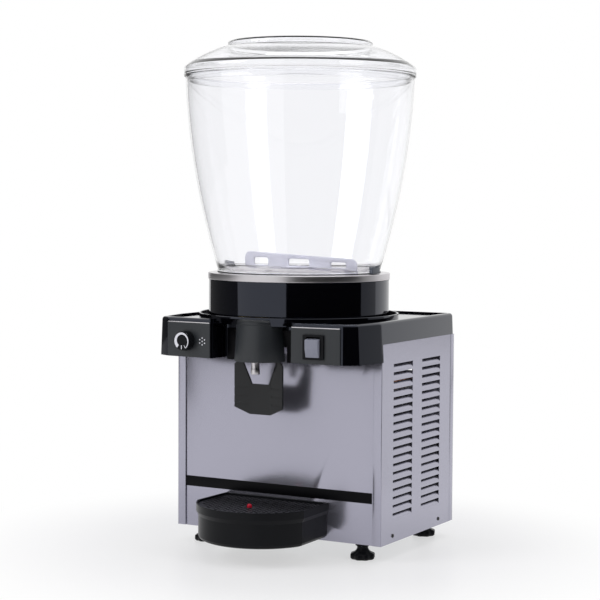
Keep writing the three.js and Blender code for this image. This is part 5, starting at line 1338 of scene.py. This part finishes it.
def make_tap():
    """The tap's plate, its nozzle and the lever."""
    refine("tap_housing", "tap_bay_plate", "deep_black", 0.0005, 2)
    refine("tap_lever", "push_lever", "lever_black", settings("tap").lever_edge, 3,
           body="lever", angle=math.radians(9))
    bottom, foot = low("tap_body").z, COVER_FOOT
    barrel, chamber, bore, neck, mouth = 0.010, 0.0068, 0.0050, 0.0060, 0.0065
    top, chamber_foot, axis = foot + 0.023, foot + 0.0025, (0.0, FRONT_Y - 0.061)
    bm = bmesh.new()
    turned(bm, [(bore, bottom), (mouth - 0.0003, bottom), (mouth, bottom + 0.0006), (mouth, bottom + 0.0075),
                (neck, bottom + 0.0082), (neck, foot), (barrel, foot + 0.001), (barrel, top), (chamber, top),
                (chamber, chamber_foot), (bore, chamber_foot - 0.0005)], axis, 64)
    soften(bm, 0.0003, 2)
    piece(bm, "outlet_nozzle", "satin_steel", "cabinet", ["tap_body"])


# Drip tray


def tray_outline(shrink, level, back):
    """The tray in plan: a straight back, sides that open slightly, and a round front."""
    size = settings("tray")
    centre_y = low("drip_tray").y + size.arc_radius
    radius, side = size.arc_radius - shrink, high("drip_tray").x - shrink
    start, count, taper = math.acos(side / radius), 48, 0.0015
    turns = [math.pi + start + (math.pi - 2 * start) * i / count for i in range(count + 1)]
    points = [(radius * math.cos(turn), centre_y + radius * math.sin(turn), level) for turn in turns]
    return [(-side + taper, back, level), *points, (side - taper, back, level)]


def make_tray():
    """The drip tray: a hollow with a wider band round its top."""
    size = settings("tray")
    bottom, top = low("drip_tray").z, high("drip_tray").z
    back, seat = FRONT_Y + TRAY_GAP, top - 0.006
    edge, hollow = size.floor_edge, size.step + size.wall + 0.0015
    # How far each outline lies inside the band, and how high: first the outside, then the inside
    outside = [(size.step + edge, bottom), (size.step + edge * 0.35, bottom + edge * 0.3),
               (size.step, bottom + edge), (size.step, top - size.band),
               (0.0, top - size.band + size.step * 2), (0.0, top)]
    inside = [(size.wall, top), (size.wall, seat), (hollow, seat), (hollow, bottom + size.wall)]
    outlines = [tray_outline(shrink, level, back) for shrink, level in outside]
    outlines += [tray_outline(shrink, level, back - size.wall) for shrink, level in inside]
    bm = bmesh.new()
    for edges in walled(bm, outlines):
        bmesh.ops.contextual_create(bm, geom=edges)
    soften(bm, 0.0007, 2, math.radians(30))
    hooks(bm, back)
    piece(bm, "drip_basin", "black_plastic", "tray", ["drip_tray"], crease=math.radians(14))


def hooks(bm, back):
    """The two hooks that hang the tray on the steel front."""
    level, behind, width = 0.060, high("front_panel").y + GAP, 0.008
    arm = (back - 0.001, behind + 0.002, level, level + 0.006)
    tongue = (behind, behind + 0.002, level - 0.008, level + 0.001)
    for centre in (-0.050, 0.050):
        for y0, y1, z0, z1 in (arm, tongue):
            box_of(bm, Matrix.Translation((centre, (y0 + y1) / 2, (z0 + z1) / 2)), (width, y1 - y0, z1 - z0))


def make_grille():
    """The grille: rows of small holes and a round one for the float."""
    size = settings("tray")
    bottom, top = low("drip_grille"), high("drip_grille")
    inset, stem, border, first_row, columns = size.wall + GRILLE_ROOM, 0.0043, 0.004, 0.006, 12
    float_y = middle("tray_float").y
    reach, centre_y = size.arc_radius - inset - border, low("drip_tray").y + size.arc_radius
    half, pitch = size.hole / 2, size.hole_pitch
    bm = bmesh.new()
    edges = loop_of(bm, tray_outline(inset, bottom.z, FRONT_Y + TRAY_GAP - inset))
    edges += circle_of(bm, (0.0, float_y, bottom.z), stem, 24)
    for row in range(int((top.y - bottom.y) / pitch)):
        y = top.y - first_row - row * pitch
        for column in range(-columns, columns + 1):
            x = column * pitch
            corner = max(math.hypot(abs(x) + half, min(y - half - centre_y, 0.0)), abs(x) + half + 0.006)
            at_edge = corner > reach or y - half < bottom.y + border
            if not at_edge and math.hypot(x, y - float_y) >= stem + size.hole * 0.9:
                edges += loop_of(bm, [(x - half, y - half, bottom.z), (x + half, y - half, bottom.z),
                                      (x + half, y + half, bottom.z), (x - half, y + half, bottom.z)])
    raised(bm, filled(bm, edges), (0, 0, top.z - bottom.z))
    bmesh.ops.recalc_face_normals(bm, faces=bm.faces)
    rounded(bm, [edge for edge in bm.edges if min(vert.co.z for vert in edge.verts) > top.z - THIN
                 and edge.calc_face_angle(0.0) > SHARP], 0.0004, 1)
    piece(bm, "drip_grid", "smooth_black", "grille", ["drip_grille"])


def make_float():
    """The float, with its red button."""
    bottom, top = low("tray_float").z, high("tray_float").z
    body, stem = 0.012, 0.0035
    bm = bmesh.new()
    turned(bm, [(0.0, bottom), (body - 0.002, bottom), (body, bottom + 0.002), (body, bottom + 0.012),
                (stem, bottom + 0.014), (stem, top - 0.002), (0.0028, top - 0.0008), (0.0017, top),
                (0.0, top)], (0.0, middle("tray_float").y), 40)
    soften(bm, 0.0004, 2)
    piece(bm, "red_float", "red_plastic", "float", ["tray_float"])


# Stage


def area_lamp(name, place, aim, size, watts):
    """A soft square lamp that looks at a point."""
    data = bpy.data.lights.new(name, "AREA")
    data.shape = "RECTANGLE"
    data.size, data.size_y = size
    data.energy = watts
    lamp = bpy.data.objects.new(name, data)
    lamp.location = place
    lamp.rotation_euler = (Vector(aim) - Vector(place)).to_track_quat("-Z", "Y").to_euler()
    lamp.visible_camera = False
    lamp.visible_glossy = False
    bpy.context.scene.collection.objects.link(lamp)


def seen_directly(tree):
    """1 for what the camera, a mirror or clear plastic shows, and 0 for light that falls on things."""
    light = tree.nodes.new("ShaderNodeLightPath")
    seen = math_node(tree, "MAXIMUM", light.outputs["Is Camera Ray"], light.outputs["Is Glossy Ray"])
    return math_node(tree, "MAXIMUM", seen, light.outputs["Is Transmission Ray"])


def make_world(stage):
    """A room of even light, which shows as white."""
    world = bpy.data.worlds.new("room")
    bpy.context.scene.world = world
    world.use_nodes = True
    tree = world.node_tree
    strength = spread(tree, seen_directly(tree), stage.room, 1.0)
    tree.links.new(strength, tree.nodes["Background"].inputs["Strength"])
    tree.nodes["Background"].inputs["Color"].default_value = (1.0, 1.0, 1.0, 1.0)


def make_floor(stage):
    """A pale floor that keeps the object's shadow and fades to white far from it."""
    bm = bmesh.new()
    bmesh.ops.create_circle(bm, cap_ends=True, radius=30.0, segments=96)
    mesh = bpy.data.meshes.new("floor")
    bm.to_mesh(mesh)
    bm.free()
    floor = bpy.data.objects.new("floor", mesh)
    bpy.context.scene.collection.objects.link(floor)
    material, shader = new_material("pale_floor", Roughness=0.35, Base_Color=tuple(stage.floor),
                                    Specular_IOR_Level=0.2)
    tree = material.node_tree
    distance = tree.nodes.new("ShaderNodeVectorMath")
    distance.operation = "LENGTH"
    tree.links.new(object_place(tree), distance.inputs[0])
    far = tree.nodes.new("ShaderNodeMapRange")
    far.interpolation_type = "SMOOTHSTEP"
    far.inputs["From Min"].default_value = stage.fade_start
    far.inputs["From Max"].default_value = stage.fade_end
    tree.links.new(distance.outputs["Value"], far.inputs["Value"])
    glow = tree.nodes.new("ShaderNodeEmission")
    mix = tree.nodes.new("ShaderNodeMixShader")
    white = spread(tree, far.outputs["Result"], 0.55, 1.0)
    share_seen = math_node(tree, "MULTIPLY", white, seen_directly(tree))
    tree.links.new(share_seen, mix.inputs["Fac"])
    tree.links.new(shader.outputs["BSDF"], mix.inputs[1])
    tree.links.new(glow.outputs["Emission"], mix.inputs[2])
    tree.links.new(mix.outputs["Shader"], tree.nodes["Material Output"].inputs["Surface"])
    mesh.materials.append(material)


def make_camera(stage):
    """The camera at the photograph's angle."""
    a, e, r = stage.azimuth, stage.elevation, stage.roll
    back = Vector((math.sin(a) * math.cos(e), -math.cos(a) * math.cos(e), math.sin(e)))
    level = Vector((math.cos(a), math.sin(a), 0.0))
    right = level * math.cos(r) + back.cross(level) * math.sin(r)
    up = back.cross(right)
    data = bpy.data.cameras.new("camera")
    data.lens = stage.lens
    data.sensor_width = 36.0
    data.clip_start, data.clip_end = 0.1, 100.0
    camera = bpy.data.objects.new("camera", data)
    camera.matrix_world = Matrix.Translation(Vector(stage.aim) + back * stage.distance) @ Matrix(
        (right, up, back)).transposed().to_4x4()
    bpy.context.scene.collection.objects.link(camera)
    bpy.context.scene.camera = camera


def make_lamps(stage):
    """A large lamp in front on the left, a smaller one on the right and one overhead."""
    area_lamp("key", (-1.6, -1.9, 1.7), (0, 0, 0.35), (1.6, 1.6), stage.key_power)
    area_lamp("fill", (2.2, -0.4, 1.1), (0, 0, 0.35), (1.0, 1.6), stage.fill_power)
    area_lamp("overhead", (0.2, 0.3, 2.2), (0, 0, 0.3), (1.8, 1.8), stage.top_power)


def reflection_card(name, start, end, low_edge, high_edge, tone):
    """A sheet round the object that only mirrors and gloss show, and that glows by its tone though it is no
    lamp: a painted reflection; an edge is its (radius, height).
    """
    material, _ = new_material(name, Base_Color=(0.0, 0.0, 0.0), Roughness=1.0, Specular_IOR_Level=0.0,
                               Emission_Color=(1.0, 1.0, 1.0), Emission_Strength=tone)
    bm = bmesh.new()
    count, rows = 24, []
    for radius, height in (low_edge, high_edge):
        angles = [math.radians(start + (end - start) * i / count) for i in range(count + 1)]
        rows.append([(radius * math.sin(angle), -radius * math.cos(angle), height) for angle in angles])
    walled(bm, rows, closed=False)
    mesh = bpy.data.meshes.new(name)
    bm.to_mesh(mesh)
    bm.free()
    mesh.materials.append(material)
    card = bpy.data.objects.new(name, mesh)
    bpy.context.scene.collection.objects.link(card)
    card.visible_camera = False
    card.visible_diffuse = False
    card.visible_transmission = False
    card.visible_shadow = False
    card.visible_volume_scatter = False


def make_reflection_cards():
    """Dark cards and glowing grey cards that only gloss and mirrors show: painted reflections, so that black
    plastic looks black and its edges show.
    """
    far, near, head, step, foot, ground = 1.9, 0.75, 1.6, 0.18, -0.05, 0.002
    # Painted reflections: each card's tone is the glow that gloss shows in it, and 0 makes a dark card
    for name, start, end, bottom, top, tone in (
            ("card_right", 14, 112, foot, head, 0.0), ("card_side", 112, 140, foot, head, 0.45),
            ("card_skirt", 140, 170, 0.165, 0.215, 0.45), ("card_left", -122, -52, step, head, 0.1),
            ("card_low_left", -122, -58, foot, step, 0.4)):
        reflection_card(name, start, end, (far, bottom), (far, top), tone)
    # Painted reflections of the floor round the object, which only gloss shows
    for name, start, end, tone in (("card_floor_right", 14, 112, 0.0), ("card_floor_side", 112, 138, 0.45),
                                   ("card_floor_left", -122, -62, 0.45)):
        reflection_card(name, start, end, (near, ground), (far, ground), tone)


def dress_inner_nodes():
    """Gives every node that still shows the finish of its slot."""
    for node, slot in node_slots().items():
        made = NODES[node]
        if made.hide_render:
            continue
        made.data.materials.clear()
        made.data.materials.append(finish(SLOT_MATERIALS[slot]))


# Operators


class DISPENSER_OT_finishes(bpy.types.Operator):
    """Make the finishes"""

    bl_idname = "dispenser.finishes"
    bl_label = "Finishes"

    def execute(self, context):
        make_materials()
        return {"FINISHED"}


class DISPENSER_OT_cabinet(bpy.types.Operator):
    """Build the steel front, the louvred sides, the rear, the screws and the feet"""

    bl_idname = "dispenser.cabinet"
    bl_label = "Cabinet"

    def execute(self, context):
        make_front()
        make_sides()
        make_rear()
        make_screws()
        make_feet()
        return {"FINISHED"}


class DISPENSER_OT_cover(bpy.types.Operator):
    """Build the black cover, the gutter and the drum"""

    bl_idname = "dispenser.cover"
    bl_label = "Top cover"

    def execute(self, context):
        make_top_cover()
        make_gutter()
        make_drum()
        make_steel_plate()
        make_catches()
        make_gasket()
        return {"FINISHED"}


class DISPENSER_OT_bowl(bpy.types.Operator):
    """Build the clear bowl, its lid and the paddle"""

    bl_idname = "dispenser.bowl"
    bl_label = "Bowl"

    def execute(self, context):
        make_bowl()
        make_lid()
        make_paddle()
        return {"FINISHED"}


class DISPENSER_OT_controls(bpy.types.Operator):
    """Build the control plates, the knob and the switch"""

    bl_idname = "dispenser.controls"
    bl_label = "Controls"

    def execute(self, context):
        make_plates()
        make_knob()
        make_plate_marks()
        make_switch()
        return {"FINISHED"}


class DISPENSER_OT_tap(bpy.types.Operator):
    """Build the tap, its cover and its lever"""

    bl_idname = "dispenser.tap"
    bl_label = "Tap"

    def execute(self, context):
        make_tap_cover()
        make_tap()
        return {"FINISHED"}


class DISPENSER_OT_tray(bpy.types.Operator):
    """Build the drip tray, its grille and its float"""

    bl_idname = "dispenser.tray"
    bl_label = "Drip tray"

    def execute(self, context):
        make_tray()
        make_grille()
        make_float()
        return {"FINISHED"}


class DISPENSER_OT_inner(bpy.types.Operator):
    """Give the remaining parts of the frame their finishes"""

    bl_idname = "dispenser.inner"
    bl_label = "Inner parts"

    def execute(self, context):
        dress_inner_nodes()
        return {"FINISHED"}


class DISPENSER_OT_stage(bpy.types.Operator):
    """Set up the floor, the lamps and the camera"""

    bl_idname = "dispenser.stage"
    bl_label = "Stage"

    def execute(self, context):
        stage = settings("stage")
        scene = context.scene
        scene.view_settings.view_transform = "Standard"
        make_world(stage)
        make_floor(stage)
        make_lamps(stage)
        make_reflection_cards()
        make_camera(stage)
        return {"FINISHED"}


OPERATORS = (DISPENSER_OT_finishes, DISPENSER_OT_cabinet, DISPENSER_OT_cover, DISPENSER_OT_bowl,
             DISPENSER_OT_controls, DISPENSER_OT_tap, DISPENSER_OT_tray, DISPENSER_OT_inner,
             DISPENSER_OT_stage)


class DISPENSER_PT_panel(bpy.types.Panel):
    """The dispenser's pieces and sizes"""

    bl_idname = "DISPENSER_PT_panel"
    bl_label = "Dispenser"
    bl_space_type = "VIEW_3D"
    bl_region_type = "UI"
    bl_category = "Dispenser"

    def draw(self, context):
        for one in OPERATORS:
            self.layout.operator(one.bl_idname)
        for group, kind in SETTINGS.items():
            box = self.layout.box()
            box.label(text=group.capitalize())
            for label in kind.__annotations__:
                box.prop(settings(group), label)


def register():
    """Registers the classes and hangs the settings on the scene."""
    for kind in (*SETTINGS.values(), *OPERATORS, DISPENSER_PT_panel):
        bpy.utils.register_class(kind)
    for group, kind in SETTINGS.items():
        setattr(bpy.types.Scene, "dispenser_" + group, PointerProperty(type=kind))


def unregister():
    """Takes the settings and classes away again."""
    for group in SETTINGS:
        delattr(bpy.types.Scene, "dispenser_" + group)
    for kind in reversed((*SETTINGS.values(), *OPERATORS, DISPENSER_PT_panel)):
        bpy.utils.unregister_class(kind)


def main():
    """Builds everything."""
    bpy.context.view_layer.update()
    register()
    for one in OPERATORS:
        getattr(bpy.ops.dispenser, one.bl_idname.split(".")[1])()


if __name__ == "__main__":
    main()
